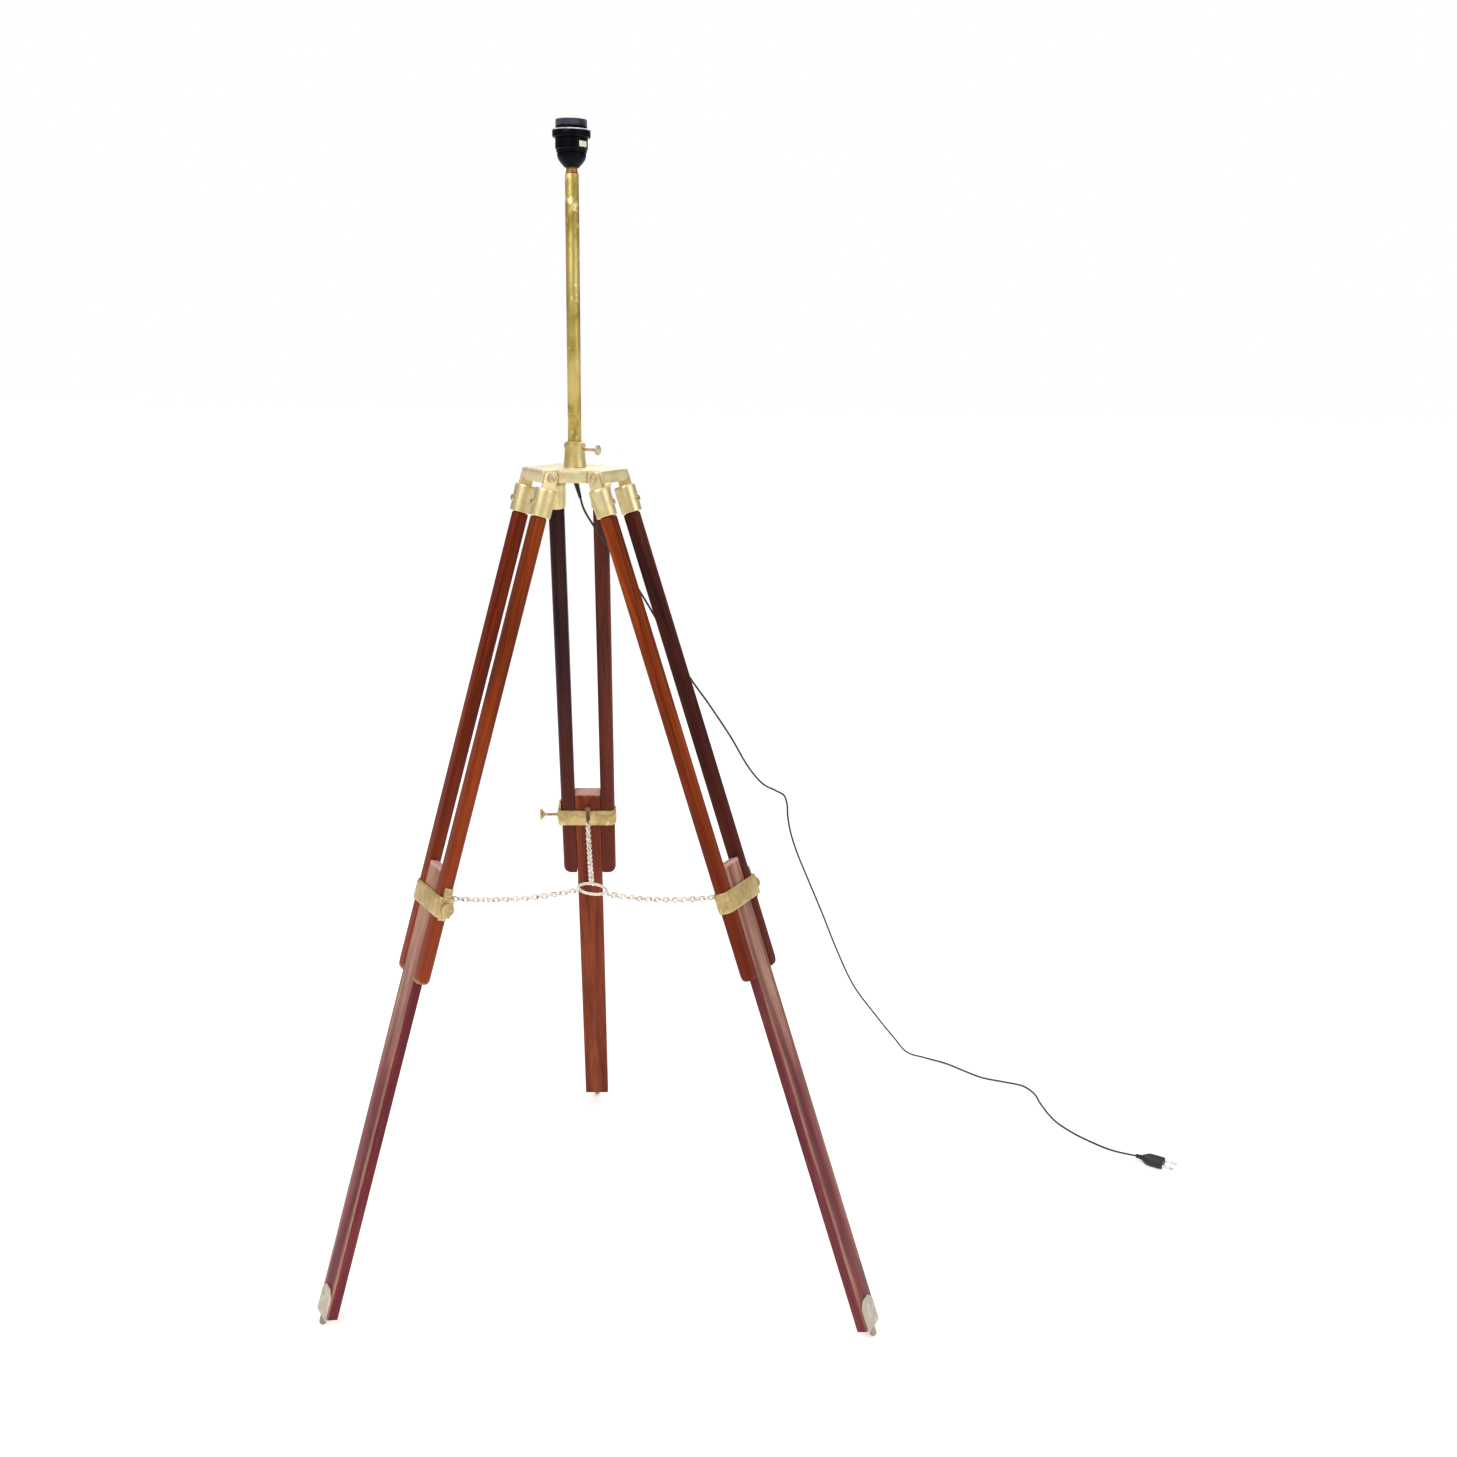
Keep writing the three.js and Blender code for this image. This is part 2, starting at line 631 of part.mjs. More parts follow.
const ring = spreaderRing(onAxis);
const legs = LEGS.map((leg) => buildLeg(onAxis, leg));
onAxis.updateMatrixWorld(true);
const chains = new THREE.Group();
lamp.add(chains);
lamp.updateMatrixWorld(true);
LEGS.forEach(({ name }, i) => spreaderChain(chains, `${name}_chain`, legs[i], ring));
addLead(onAxis);

export default lamp;
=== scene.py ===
"""A floor lamp on a surveyor's wooden tripod, drawn over its CAD frame."""

import math
import random

import bpy
from mathutils import Matrix, Vector


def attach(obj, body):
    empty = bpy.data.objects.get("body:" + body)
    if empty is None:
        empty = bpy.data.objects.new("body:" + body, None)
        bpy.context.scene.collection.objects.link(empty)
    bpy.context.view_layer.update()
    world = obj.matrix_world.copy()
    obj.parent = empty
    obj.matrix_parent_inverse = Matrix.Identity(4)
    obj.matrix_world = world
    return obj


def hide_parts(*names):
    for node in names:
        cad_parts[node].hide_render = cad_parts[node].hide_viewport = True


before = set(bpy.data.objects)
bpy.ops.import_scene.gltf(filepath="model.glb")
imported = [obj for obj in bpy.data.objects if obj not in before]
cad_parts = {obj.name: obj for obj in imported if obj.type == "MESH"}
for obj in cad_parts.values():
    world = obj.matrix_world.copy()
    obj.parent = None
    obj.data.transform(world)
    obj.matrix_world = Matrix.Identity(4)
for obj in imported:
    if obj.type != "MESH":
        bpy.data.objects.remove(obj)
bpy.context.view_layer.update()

# ---------- dimensions, in millimetres and degrees ----------
MM = 0.001
POLE_AXIS = Vector((-31.6, -95.3, 0.0))
HINGE_HEIGHT = 1136.0
HINGE_RADIUS = 51.5
LEGS = {
    "leg_a": {"azimuth": 210.0, "spread": 16.75, "screw_reach": 1.8},
    "leg_b": {"azimuth": 330.0, "spread": 20.1, "screw_reach": 1.8},
    "leg_c": {"azimuth": 90.0, "spread": 18.6, "screw_reach": 21.0},
}
STAVE_X = 30.55
STAVE_WIDTH = 21.5
STAVE_THICKNESS = 17.0
STAVE_EDGE = 41.3
STAVE_FOOT = 684.0
SLIDER_WIDTH = 39.0
SLIDER_THICKNESS = 15.0
SLIDER_TOP = 528.0
SLIDER_CHAMFER = 4.0
FERRULE_TOP = 15.0
FERRULE_FOOT = 51.0
STRAP_DEPTH = 574.0
HOOK_DEPTH = 573.0
STRAP_LEFT = -44.9
STRAP_RIGHT = 41.6
STRAP_BACK = -11.3
PAD_ABOVE = 26.0
PAD_BELOW = 18.0
PEG_RADIUS = 4.7
PEG_OFFSET = 4.5
PEG_LENGTH = 16.0
EYE = Vector((0.0, -21.7, -HOOK_DEPTH))
RING_CENTRE = Vector((18.0, 1.0, 557.0))
RING_RADIUS = 20.0
RING_TILT = 8.0
COLLAR_FOOT = 1146.3
SHELL_LOW = 1542.4
SHELL_LENGTH = 24
SHELL_PITCH = 3.6
LINK_PITCH = 7.2
LINK_OVERLAP = 4.8
LINK_WIDTH = 9.4
LINK_WIRE = 2.4
CHAIN_SLACK = 1.006  # a chain's length over the straight line between its ends
CHAIN_SAG = 7.5
CORD_DIAMETER = 3.0
CORD_IN_PLUG = 10.0  # how far the lead's curve runs on inside the plug
PLUG_LIFT = 6.8

# The lead's route from its strain relief to the plug, measured from the foot of the pole's axis.
CORD_ROUTE = [
    (6.5, 2.8, 1105.3),
    (10.6, 4.7, 1091),
    (24, 15, 1066),
    (84, 58, 972),
    (153, 110, 842),
    (182, 134, 796),
    (218, 162, 736),
    (245, 186, 685),
    (270, 210, 650),
    (292, 230, 633),
    (306, 243, 621),
    (311.5, 249.5, 604),
    (313, 252, 586),
    (318, 258, 559),
    (330, 273, 520),
    (354, 304, 458),
    (382, 334, 388),
    (414, 375, 304),
    (451, 422, 218),
    (497, 475, 140),
    (543, 523, 68),
    (576, 551, 22),
    (610, 564, 5),
    (648, 546, 2.1),
    (678, 516, 1.8),
    (706, 490, 1.8),
    (744, 473, 1.8),
    (774, 458, 1.8),
    (788, 430, 1.8),
    (791, 392, 1.8),
    (801, 334, 1.8),
    (822, 292, 1.8),
    (846, 261, 1.8),
    (873, 232, 3),
    (896, 215, 5.4),
    (906, 208.4, 6.8),
]


# ---------- frames ----------
def turn(degrees, axis):
    return Matrix.Rotation(math.radians(degrees), 4, axis)


def shift(x, y, z):
    """A move in millimetres."""
    return Matrix.Translation(Vector((x, y, z)) * MM)


def shift_mm(x, y, z):
    """A move inside a shape, whose vertices are in millimetres."""
    return Matrix.Translation((x, y, z))


ON_AXIS = Matrix.Translation(POLE_AXIS * MM)
ALONG_X = turn(90, "Y")  # takes a form built along Z to lie along X


def hinge_frame(leg):
    """At the hinge line: X along it, Y outwards, Z up."""
    return ON_AXIS @ turn(LEGS[leg]["azimuth"] - 90, "Z") @ shift(0, HINGE_RADIUS, HINGE_HEIGHT)


def leg_frame(leg):
    """At the hinge line, with Z up along the leaning leg."""
    return hinge_frame(leg) @ turn(LEGS[leg]["spread"], "X")


# ---------- camera ----------
CAMERA_LENS = 36.494
CAMERA_PLACE = (0.0942, -2.0627, 1.304)
CAMERA_YAW = -2.36
CAMERA_DOWN = 14.56
CAMERA_ROLL = 0.9


def add_camera():
    data = bpy.data.cameras.new("camera")
    data.sensor_width = 36.0
    data.lens = CAMERA_LENS
    camera = bpy.data.objects.new("camera", data)
    bpy.context.scene.collection.objects.link(camera)
    place = Matrix.Translation(CAMERA_PLACE)
    aim = turn(CAMERA_YAW, "Z") @ turn(90 - CAMERA_DOWN, "X") @ turn(CAMERA_ROLL, "Z")
    camera.matrix_world = place @ aim
    bpy.context.scene.camera = camera


# ---------- node materials ----------
class Nodes:
    """Short calls to build one node material."""

    def __init__(self, name):
        self.material = bpy.data.materials.new(name)
        self.material.use_nodes = True
        self.tree = self.material.node_tree
        self.shader = self.tree.nodes["Principled BSDF"]
        self.place = self.add("ShaderNodeTexCoord").outputs["Object"]

    def add(self, kind, **settings):
        node = self.tree.nodes.new(kind)
        for key, value in settings.items():
            setattr(node, key, value)
        return node

    def feed(self, value, socket):
        if isinstance(value, bpy.types.NodeSocket):
            self.tree.links.new(value, socket)
        else:
            socket.default_value = value

    def set(self, **values):
        for key, value in values.items():
            self.feed(value, self.shader.inputs[key.replace("_", " ")])

    def stretched(self, scale, source=None):
        node = self.add("ShaderNodeMapping")
        self.feed(source or self.place, node.inputs["Vector"])
        node.inputs["Scale"].default_value = scale
        return node.outputs["Vector"]

    def noise(self, vector, scale, detail=4.0, roughness=0.55, distortion=0.0):
        node = self.add("ShaderNodeTexNoise")
        self.feed(vector, node.inputs["Vector"])
        node.inputs["Scale"].default_value = scale
        node.inputs["Detail"].default_value = detail
        node.inputs["Roughness"].default_value = roughness
        node.inputs["Distortion"].default_value = distortion
        return node.outputs["Fac"]

    def ramp(self, value, stops):
        node = self.add("ShaderNodeValToRGB")
        self.feed(value, node.inputs["Fac"])
        elements = node.color_ramp.elements
        while len(elements) < len(stops):
            elements.new(0.5)
        for element, (position, color) in zip(elements, stops):
            element.position = position
            element.color = color if len(color) == 4 else (*color, 1.0)
        return node.outputs["Color"]

    def span(self, value, low, high, to_low, to_high):
        node = self.add("ShaderNodeMapRange")
        for name, item in zip(("Value", "From Min", "From Max", "To Min", "To Max"),
                              (value, low, high, to_low, to_high)):
            self.feed(item, node.inputs[name])
        return node.outputs["Result"]

    def math(self, operation, a, b=0.5):
        node = self.add("ShaderNodeMath", operation=operation)
        self.feed(a, node.inputs[0])
        self.feed(b, node.inputs[1])
        return node.outputs[0]

    def mix(self, amount, a, b, blend="MIX"):
        node = self.add("ShaderNodeMix", data_type="RGBA", blend_type=blend)
        self.feed(amount, node.inputs["Factor"])
        self.feed(a if isinstance(a, bpy.types.NodeSocket) else (*a, 1.0), node.inputs["A"])
        self.feed(b if isinstance(b, bpy.types.NodeSocket) else (*b, 1.0), node.inputs["B"])
        return node.outputs["Result"]

    def axis(self, name):
        node = self.add("ShaderNodeSeparateXYZ")
        self.feed(self.place, node.inputs[0])
        return node.outputs[name]

    def bump(self, height, strength, distance):
        node = self.add("ShaderNodeBump")
        self.feed(height, node.inputs["Height"])
        node.inputs["Strength"].default_value = strength
        node.inputs["Distance"].default_value = distance
        self.feed(node.outputs["Normal"], self.shader.inputs["Normal"])


def rgb(code):
    """A linear colour from six hexadecimal digits."""
    parts = [int(code[i:i + 2], 16) / 255 for i in (0, 2, 4)]
    return tuple(c / 12.92 if c <= 0.04045 else ((c + 0.055) / 1.055) ** 2.4 for c in parts)


# Bands of tone and of painted highlight on the wood, in metres of the leg's own frame.
FOOT_TONE_Z = (-0.62, -0.3)  # the foot tone is full at the first and gone at the second
OUTER_FACE_Y = (0.0062, 0.0072)  # just inside a slider's outer face
CORNER_X = (0.010, 0.018)  # how far from the middle a slider's corners begin
CLAMP_HIGHLIGHT_Z = (-0.84, -0.72)  # below, only the corners get the painted highlight; above, the whole outer face


def wood(name, tones, offset, roughness, worn=None, foot=None, outer_highlight=0.0):
    """Varnished mahogany with its grain along Z.

    worn = (bare Z, sound Z, colour) rubs the varnish there. foot is the tone that a stave takes on downwards.
    The last argument paints a highlight, a pale tint on a slider's outer face where the light falls: all of
    it near the clamp, and along its corners further down.
    """
    n = Nodes(name)
    dark, middle, light = (rgb(tone) for tone in tones)
    moved = n.add("ShaderNodeMapping")
    n.feed(n.place, moved.inputs["Vector"])
    moved.inputs["Location"].default_value = offset
    base = moved.outputs["Vector"]
    figure = n.noise(n.stretched((26, 26, 1.6), base), 2.2, 3.0, 0.5, 0.6)
    streaks = n.noise(n.stretched((190, 190, 5.0), base), 3.0, 5.0, 0.6)
    pores = n.noise(n.stretched((900, 900, 22.0), base), 2.0, 2.0, 0.5)
    tone = n.math("ADD", n.math("MULTIPLY", figure, 0.62), n.math("MULTIPLY", streaks, 0.38))
    color = n.ramp(tone, [(0.33, dark), (0.5, middle), (0.66, light)])
    if foot:
        color = n.mix(n.span(n.axis("Z"), *FOOT_TONE_Z, 0.65, 0.0), color, rgb(foot))
    # Painted highlight: a pale tint on the slider's outer face where the light falls, broken up by the grain.
    if outer_highlight:
        outer = n.span(n.axis("Y"), *OUTER_FACE_Y, 0.0, outer_highlight)
        corner = n.span(n.math("ABSOLUTE", n.axis("X")), *CORNER_X, 0.0, 1.0)
        upper = n.span(n.axis("Z"), *CLAMP_HIGHLIGHT_Z, 0.0, 1.0)
        highlit_face = n.math("MULTIPLY", outer, n.math("MAXIMUM", corner, upper))
        highlit_face = n.math("MULTIPLY", highlit_face, n.span(streaks, 0.38, 0.6, 0.45, 1.0))
        highlit_face = n.math("MULTIPLY", highlit_face, n.span(figure, 0.4, 0.58, 0.45, 1.1))
        color = n.mix(highlit_face, color, rgb("c99f86"))
    dark_pores = n.ramp(pores, [(0.36, (0.0, 0.0, 0.0)), (0.46, (1.0, 1.0, 1.0))])
    color = n.mix(0.3, color, dark_pores, "MULTIPLY")
    rough = n.span(streaks, 0.3, 0.7, roughness - 0.07, roughness + 0.12)
    if worn:
        bare, sound, tint = worn
        height = n.span(n.axis("Z"), bare * MM, sound * MM, 0.55, -0.25)
        patch = n.math("ADD", height, n.math("MULTIPLY", streaks, 0.6))
        amount = n.ramp(patch, [(0.52, (0, 0, 0)), (0.68, (1, 1, 1))])
        color = n.mix(amount, color, tint)
    n.set(Base_Color=color, Roughness=rough, Specular_IOR_Level=0.06, Coat_Weight=0.07, Coat_Roughness=0.25)
    relief = n.math("ADD", n.math("MULTIPLY", streaks, 0.5), n.math("MULTIPLY", pores, 0.5))
    n.bump(relief, 0.22, 0.0006)
    return n.material


def metal(name, base, stain, bright, roughness, mottle=28.0, cover=(0.42, 0.62), glints=(0.68, 0.78),
          metallic=0.55, top_highlight=None):
    """Aged metal: a base colour with darker stains, brighter spots that are partly worn-bright metal and
    partly painted glints, and fine scratches.

    The last argument, (Z, colour), paints a highlight: it brightens the metal above that height, a top face
    lighter where the light falls on it.
    """
    n = Nodes(name)
    cloud = n.noise(n.place, mottle, 5.0, 0.62, 0.4)
    spots = n.noise(n.stretched((1.0, 1.0, 0.55)), mottle * 2.6, 4.0, 0.55)
    fine = n.noise(n.place, 900.0, 3.0, 0.6)
    low, high = cover
    color = n.ramp(cloud, [(low, stain), (high, base)])
    # Brighter spots: worn-bright metal, and painted glints.
    rubbed_and_glints = n.ramp(spots, [(glints[0], (0, 0, 0)), (glints[1], (1, 1, 1))])
    color = n.mix(rubbed_and_glints, color, bright)
    # Painted highlight: the top face made lighter, as the light falls on it.
    if top_highlight:
        level, tint = top_highlight
        color = n.mix(n.span(n.axis("Z"), (level - 1) * MM, level * MM, 0.0, 0.8), color, tint)
    rough = n.math("ADD", n.span(cloud, 0.3, 0.7, roughness + 0.12, roughness - 0.08),
                   n.math("MULTIPLY", fine, 0.08))
    n.set(Base_Color=color, Roughness=rough, Metallic=metallic)
    relief = n.math("ADD", n.math("MULTIPLY", spots, 0.6), n.math("MULTIPLY", fine, 0.4))
    n.bump(relief, 0.12, 0.0005)
    return n.material


def pole_brass():
    """Olive-gold tube, blotched with cream spots up its upper half."""
    n = Nodes("pole_brass")
    cloud = n.noise(n.stretched((1.0, 1.0, 0.5)), 42.0, 5.0, 0.62, 0.5)
    blots = n.noise(n.stretched((1.0, 1.0, 0.8)), 75.0, 3.0, 0.5)
    fine = n.noise(n.stretched((1.0, 1.0, 0.1)), 900.0, 3.0, 0.6)
    color = n.ramp(cloud, [(0.34, rgb("88702f")), (0.47, rgb("ae974b")), (0.62, rgb("cbb46c"))])
    height = n.span(n.axis("Z"), 1.25, 1.48, -0.08, 0.05)
    spots = n.ramp(n.math("ADD", blots, height), [(0.6, (0, 0, 0)), (0.68, (1, 1, 1))])
    color = n.mix(n.math("MULTIPLY", spots, 0.7), color, rgb("fff0b4"))
    n.set(Base_Color=color, Roughness=n.span(cloud, 0.3, 0.7, 0.5, 0.3), Metallic=0.6)
    relief = n.math("ADD", n.math("MULTIPLY", blots, 0.5), n.math("MULTIPLY", fine, 0.5))
    n.bump(relief, 0.15, 0.0005)
    return n.material


def bakelite(name, highlight_band=None):
    """Near-black moulding. The second argument, (low Z, high Z, colour), is a painted highlight: a pale band
    there.
    """
    n = Nodes(name)
    cloud = n.noise(n.place, 60.0, 4.0, 0.6)
    dust = n.noise(n.place, 700.0, 3.0, 0.6)
    color = n.ramp(cloud, [(0.35, rgb("030207")), (0.65, rgb("07060e"))])
    # Painted highlight: a pale band where the moulding catches the light, patchy with the cloud.
    if highlight_band:
        low, high, tint = highlight_band
        above = n.math("GREATER_THAN", n.axis("Z"), low * MM)
        below = n.math("LESS_THAN", n.axis("Z"), high * MM)
        patchy = n.span(cloud, 0.35, 0.6, 0.35, 1.0)
        color = n.mix(n.math("MULTIPLY", n.math("MULTIPLY", above, below), patchy), color, tint)
    n.set(Base_Color=color, Roughness=n.span(dust, 0.3, 0.7, 0.22, 0.4), Specular_IOR_Level=0.08)
    n.bump(dust, 0.06, 0.0003)
    return n.material


def plain(name, low, high, roughness, scale, bump):
    """One material with a slow change of tone and a fine tooth."""
    n = Nodes(name)
    cloud = n.noise(n.place, scale, 4.0, 0.6)
    tooth = n.noise(n.place, scale * 14, 3.0, 0.6)
    n.set(Base_Color=n.ramp(cloud, [(0.35, low), (0.65, high)]), Metallic=0.0,
          Roughness=n.span(cloud, 0.3, 0.7, roughness - 0.06, roughness + 0.08))
    n.bump(tooth, bump, 0.0004)
    return n.material


MATERIALS = {
    "pole": pole_brass(),
    # the head's top face gets a painted highlight
    "head": metal("head_brass", rgb("dccca0"), rgb("bba878"), rgb("f6e9c4"), 0.42, cover=(0.34, 0.54),
                  top_highlight=(1145.6, rgb("fbf3d6"))),
    "collar": metal("collar_brass", rgb("e4d296"), rgb("c4ac6c"), rgb("fff0c4"), 0.36, cover=(0.34, 0.54),
                    metallic=0.8),
    "ferrule": metal("ferrule_brass", rgb("ecdca8"), rgb("d3bd80"), rgb("fff4d2"), 0.34, 32.0, (0.32, 0.56),
                     metallic=0.8),
    "strap": metal("strap_brass", rgb("cbb07a"), rgb("a28a54"), rgb("e6d3a8"), 0.42, 54.0, (0.34, 0.56),
                   (0.58, 0.74)),
    "screw": metal("copper_screw", rgb("e2cbb0"), rgb("b49a7c"), rgb("fbeedd"), 0.36, 90.0),
    "neck": metal("neck_copper", rgb("bd8a50"), rgb("8a5c30"), rgb("dcb07c"), 0.4, 90.0),
    "hook": metal("hook_copper", rgb("a5744c"), rgb("74502f"), rgb("cfa884"), 0.42, 90.0),
    "nickel": metal("pale_nickel", rgb("efe6dc"), rgb("bcae9f"), rgb("fffaf2"), 0.34, 120.0, (0.34, 0.5)),
    # the chain's strong dark stain and white spots are painted shade and painted highlight, spread at random,
    # standing in for the links' dark gaps and glints
    "chain": metal("chain_nickel", rgb("fff4ea"), rgb("8e847a"), rgb("ffffff"), 0.36, 260.0, (0.38, 0.48)),
    "foot": metal("worn_steel", rgb("ded2c5"), rgb("c2b6a8"), rgb("f2e9df"), 0.46, 50.0),
    "peg": metal("peg_steel", rgb("b5a895"), rgb("8d8170"), rgb("d8cfc0"), 0.42, 70.0),
    "pad": metal("pad_brass", rgb("dcc69a"), rgb("b29a6c"), rgb("fbf0d4"), 0.42, 80.0),
    "bakelite": bakelite("bakelite"),
    # painted highlight: the pale band on the skirt's upper threads
    "skirt": bakelite("highlit_bakelite", (1563.4, 1570.6, rgb("4d4858"))),
    # painted highlight: the thin bright line round the shade ring's upper lip
    "shade_ring": bakelite("shade_ring_bakelite", (1558.0, 1559.4, rgb("e8e2ea"))),
    "label": plain("cream_label", rgb("d9cdb4"), rgb("efe6d2"), 0.5, 300.0, 0.05),
    "ceramic": plain("socket_ceramic", rgb("ddd6c6"), rgb("ece7da"), 0.35, 80.0, 0.05),
    "rubber": plain("black_lead", rgb("111113"), rgb("1e1e20"), 0.5, 120.0, 0.1),
}


# Dark, middle and light tone of each leg's left and right stave, of its slider, and its staves' foot tone.
STAVE_TONES = {
    "leg_a": (("3a1203", "732b0a", "96400f"), ("340f03", "66200a", "8a350c")),
    "leg_b": (("220c0a", "441a14", "602a1e"), ("3a1203", "782e0a", "9c4412")),
    "leg_c": (("1a0b10", "34181c", "4a2622"), ("260e0d", "4e2018", "6c3424")),
}
SLIDER_TONES = {
    "leg_a": ("421518", "702c32", "904446"),
    "leg_b": ("441a1e", "76363a", "985250"),
    "leg_c": ("4a160c", "76321e", "94492b"),
}
FOOT_TONES = {"leg_a": "8f3d26", "leg_b": "641f14", "leg_c": "6c2c1e"}


def leg_woods(leg, offset):
    """The woods of one leg: its two staves and its slider."""
    worn = (-692, -657, rgb("b98a66")) if leg == "leg_a" else None
    woods = {}
    for side, tones in zip(("left", "right"), STAVE_TONES[leg]):
        woods[side] = wood(f"{leg}_{side}_wood", tones, offset, 0.4, worn, FOOT_TONES[leg])
    end_grain = (-SLIDER_TOP - 1, -SLIDER_TOP - 12, rgb("c89c92"))
    shifted = (offset[1], offset[0], offset[2] + 3)
    # the slider's outer face gets a painted highlight
    woods["slider"] = wood(f"{leg}_slider_wood", SLIDER_TONES[leg], shifted, 0.42, end_grain, outer_highlight=0.7)
    return woods


# ---------- mesh code ----------
class Shape:
    """Vertices in millimetres and faces, gathered from simple forms."""

    def __init__(self):
        self.verts = []
        self.faces = []

    def add(self, verts, faces, place=None):
        first = len(self.verts)
        if place is not None:
            verts = [place @ Vector(v) for v in verts]
        self.verts += [tuple(v) for v in verts]
        self.faces += [tuple(first + i for i in face) for face in faces]
        return self

    def loft(self, rings, place=None, closed=False):
        """Skin between rings of equal length, capped at both ends unless closed."""
        count = len(rings[0])
        verts = [p for ring in rings for p in ring]
        pairs = [(i, i + 1) for i in range(len(rings) - 1)]
        if closed:
            pairs.append((len(rings) - 1, 0))
        faces = []
        for a, b in pairs:
            for k in range(count):
                m = (k + 1) % count
                faces.append((a * count + k, a * count + m, b * count + m, b * count + k))
        if not closed:
            faces.append(tuple(reversed(range(count))))
            faces.append(tuple((len(rings) - 1) * count + k for k in range(count)))
        return self.add(verts, faces, place)

    def lathe(self, profile, sides=48, place=None, closed=False):
        """A profile of (radius, height) turned about Z."""
        rings = [circle(max(r, 1e-4), sides, z) for r, z in profile]
        return self.loft(rings, place, closed)


def circle(radius, sides, z=0.0):
    return [(radius * math.cos(2 * math.pi * k / sides), radius * math.sin(2 * math.pi * k / sides), z)
            for k in range(sides)]


def ribbed_rings(profile, sides, depth, every, first):
    """Rings of (radius, height, ribbed), where every few points of a ribbed one are cut in by the depth."""
    rings = []
    for radius, z, ribbed in profile:
        ring = []
        for k in range(sides):
            r = radius - (depth if ribbed and k % every == first else 0)
            a = 2 * math.pi * k / sides
            ring.append((r * math.cos(a), r * math.sin(a), z))
        rings.append(ring)
    return rings


def rounded_box_outline(left, right, depth, left_round, right_round, steps=6):
    """A rectangle about Y = 0, counter-clockwise, with rounded corners."""
    half = depth / 2
    corners = [
        (right - right_round, half - right_round, right_round, 0),
        (left + left_round, half - left_round, left_round, 90),
        (left + left_round, -half + left_round, left_round, 180),
        (right - right_round, -half + right_round, right_round, 270),
    ]
    points = []
    for x, y, radius, start in corners:
        for k in range(steps + 1):
            angle = math.radians(start + 90 * k / steps)
            points.append((x + radius * math.cos(angle), y + radius * math.sin(angle)))
    return points


def inset(points, amount):
    """A polygon moved in by an amount, each corner along its mitre."""
    moved = []
    count = len(points)
    for i, point in enumerate(points):
        here = Vector(point)
        before = (here - Vector(points[i - 1])).normalized()
        after = (Vector(points[(i + 1) % count]) - here).normalized()
        normal_a = Vector((-before.y, before.x))
        normal_b = Vector((-after.y, after.x))
        mitre = (normal_a + normal_b).normalized()
        scale = amount / max(0.35, mitre.dot(normal_a))
        moved.append(tuple(here + mitre * scale))
    return moved


def rounded_corners(points, radius, steps=4):
    """A polygon with each corner replaced by a short arc."""
    result = []
    count = len(points)
    for i, point in enumerate(points):
        here = Vector(point)
        to_last = (Vector(points[i - 1]) - here).normalized()
        to_next = (Vector(points[(i + 1) % count]) - here).normalized()
        a = here + to_last * radius
        b = here + to_next * radius
        for k in range(steps + 1):
            t = k / steps
            result.append(tuple(a * (1 - t) ** 2 + here * 2 * t * (1 - t) + b * t ** 2))
    return result


def at(points, z):
    """A flat outline lifted to a height."""
    return [(x, y, z) for x, y in points]


def sweep(shape, path, radius, sides):
    """A tube along a closed path of points, kept from twisting."""
    points = [Vector(p) for p in path]
    count = len(points)
    outline = [(x, y) for x, y, _ in circle(radius, sides)]
    rings = []
    normal = None
    for i, point in enumerate(points):
        tangent = points[(i + 1) % count] - points[i - 1]
        tangent.normalize()
        if normal is None:
            helper = Vector((0, 0, 1)) if abs(tangent.z) < 0.9 else Vector((1, 0, 0))
            normal = tangent.cross(helper).normalized()
        normal = (normal - tangent * normal.dot(tangent)).normalized()
        side = tangent.cross(normal)
        rings.append([tuple(point + normal * x + side * y) for x, y in outline])
    return shape.loft(rings, closed=True)


def piece(name, shape, material, body, place, replaces, sharp=35.0):
    """A finished object from a shape: placed, shaded, on its body and standing for its CAD nodes."""
    mesh = bpy.data.meshes.new(name)
    mesh.from_pydata([tuple(c * MM for c in v) for v in shape.verts], [], shape.faces)
    mesh.validate()
    mesh.polygons.foreach_set("use_smooth", [True] * len(mesh.polygons))
    mesh.update()
    mesh.set_sharp_from_angle(angle=math.radians(sharp))
    mesh.materials.append(material)
    obj = bpy.data.objects.new(name, mesh)
    bpy.context.scene.collection.objects.link(obj)
    obj.matrix_world = place
    bpy.context.view_layer.update()
    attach(obj, body)
    if replaces:
        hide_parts(*replaces)
    return obj


def finish_node(node, material):
    """Gives a CAD node that stays in view its own material."""
    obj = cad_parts[node]
    obj.data.materials.clear()
    obj.data.materials.append(material)


def slotted_head(shape, radius, height, place, slot, deep):
    """A domed screw head along Z with a real slot, its flat side at Z = 0."""
    shape.lathe([(0, 0), (radius, 0), (radius, height - deep), (0, height - deep)], 28, place)
    for side in (1, -1):
        rings = []
        for k in range(5):
            rise = k / 4
            level = height - deep + deep * rise
            reach = radius * math.sqrt(max(0.0, 1 - (0.75 * rise) ** 2))
            start = math.asin(min(0.95, slot / 2 / reach))
            arc = [start + (math.pi - 2 * start) * j / 12 for j in range(13)]
            rings.append([(reach * math.cos(a), side * reach * math.sin(a), level) for a in arc])
        if side < 0:
            rings = [list(reversed(ring)) for ring in rings]
        shape.loft(rings, place)


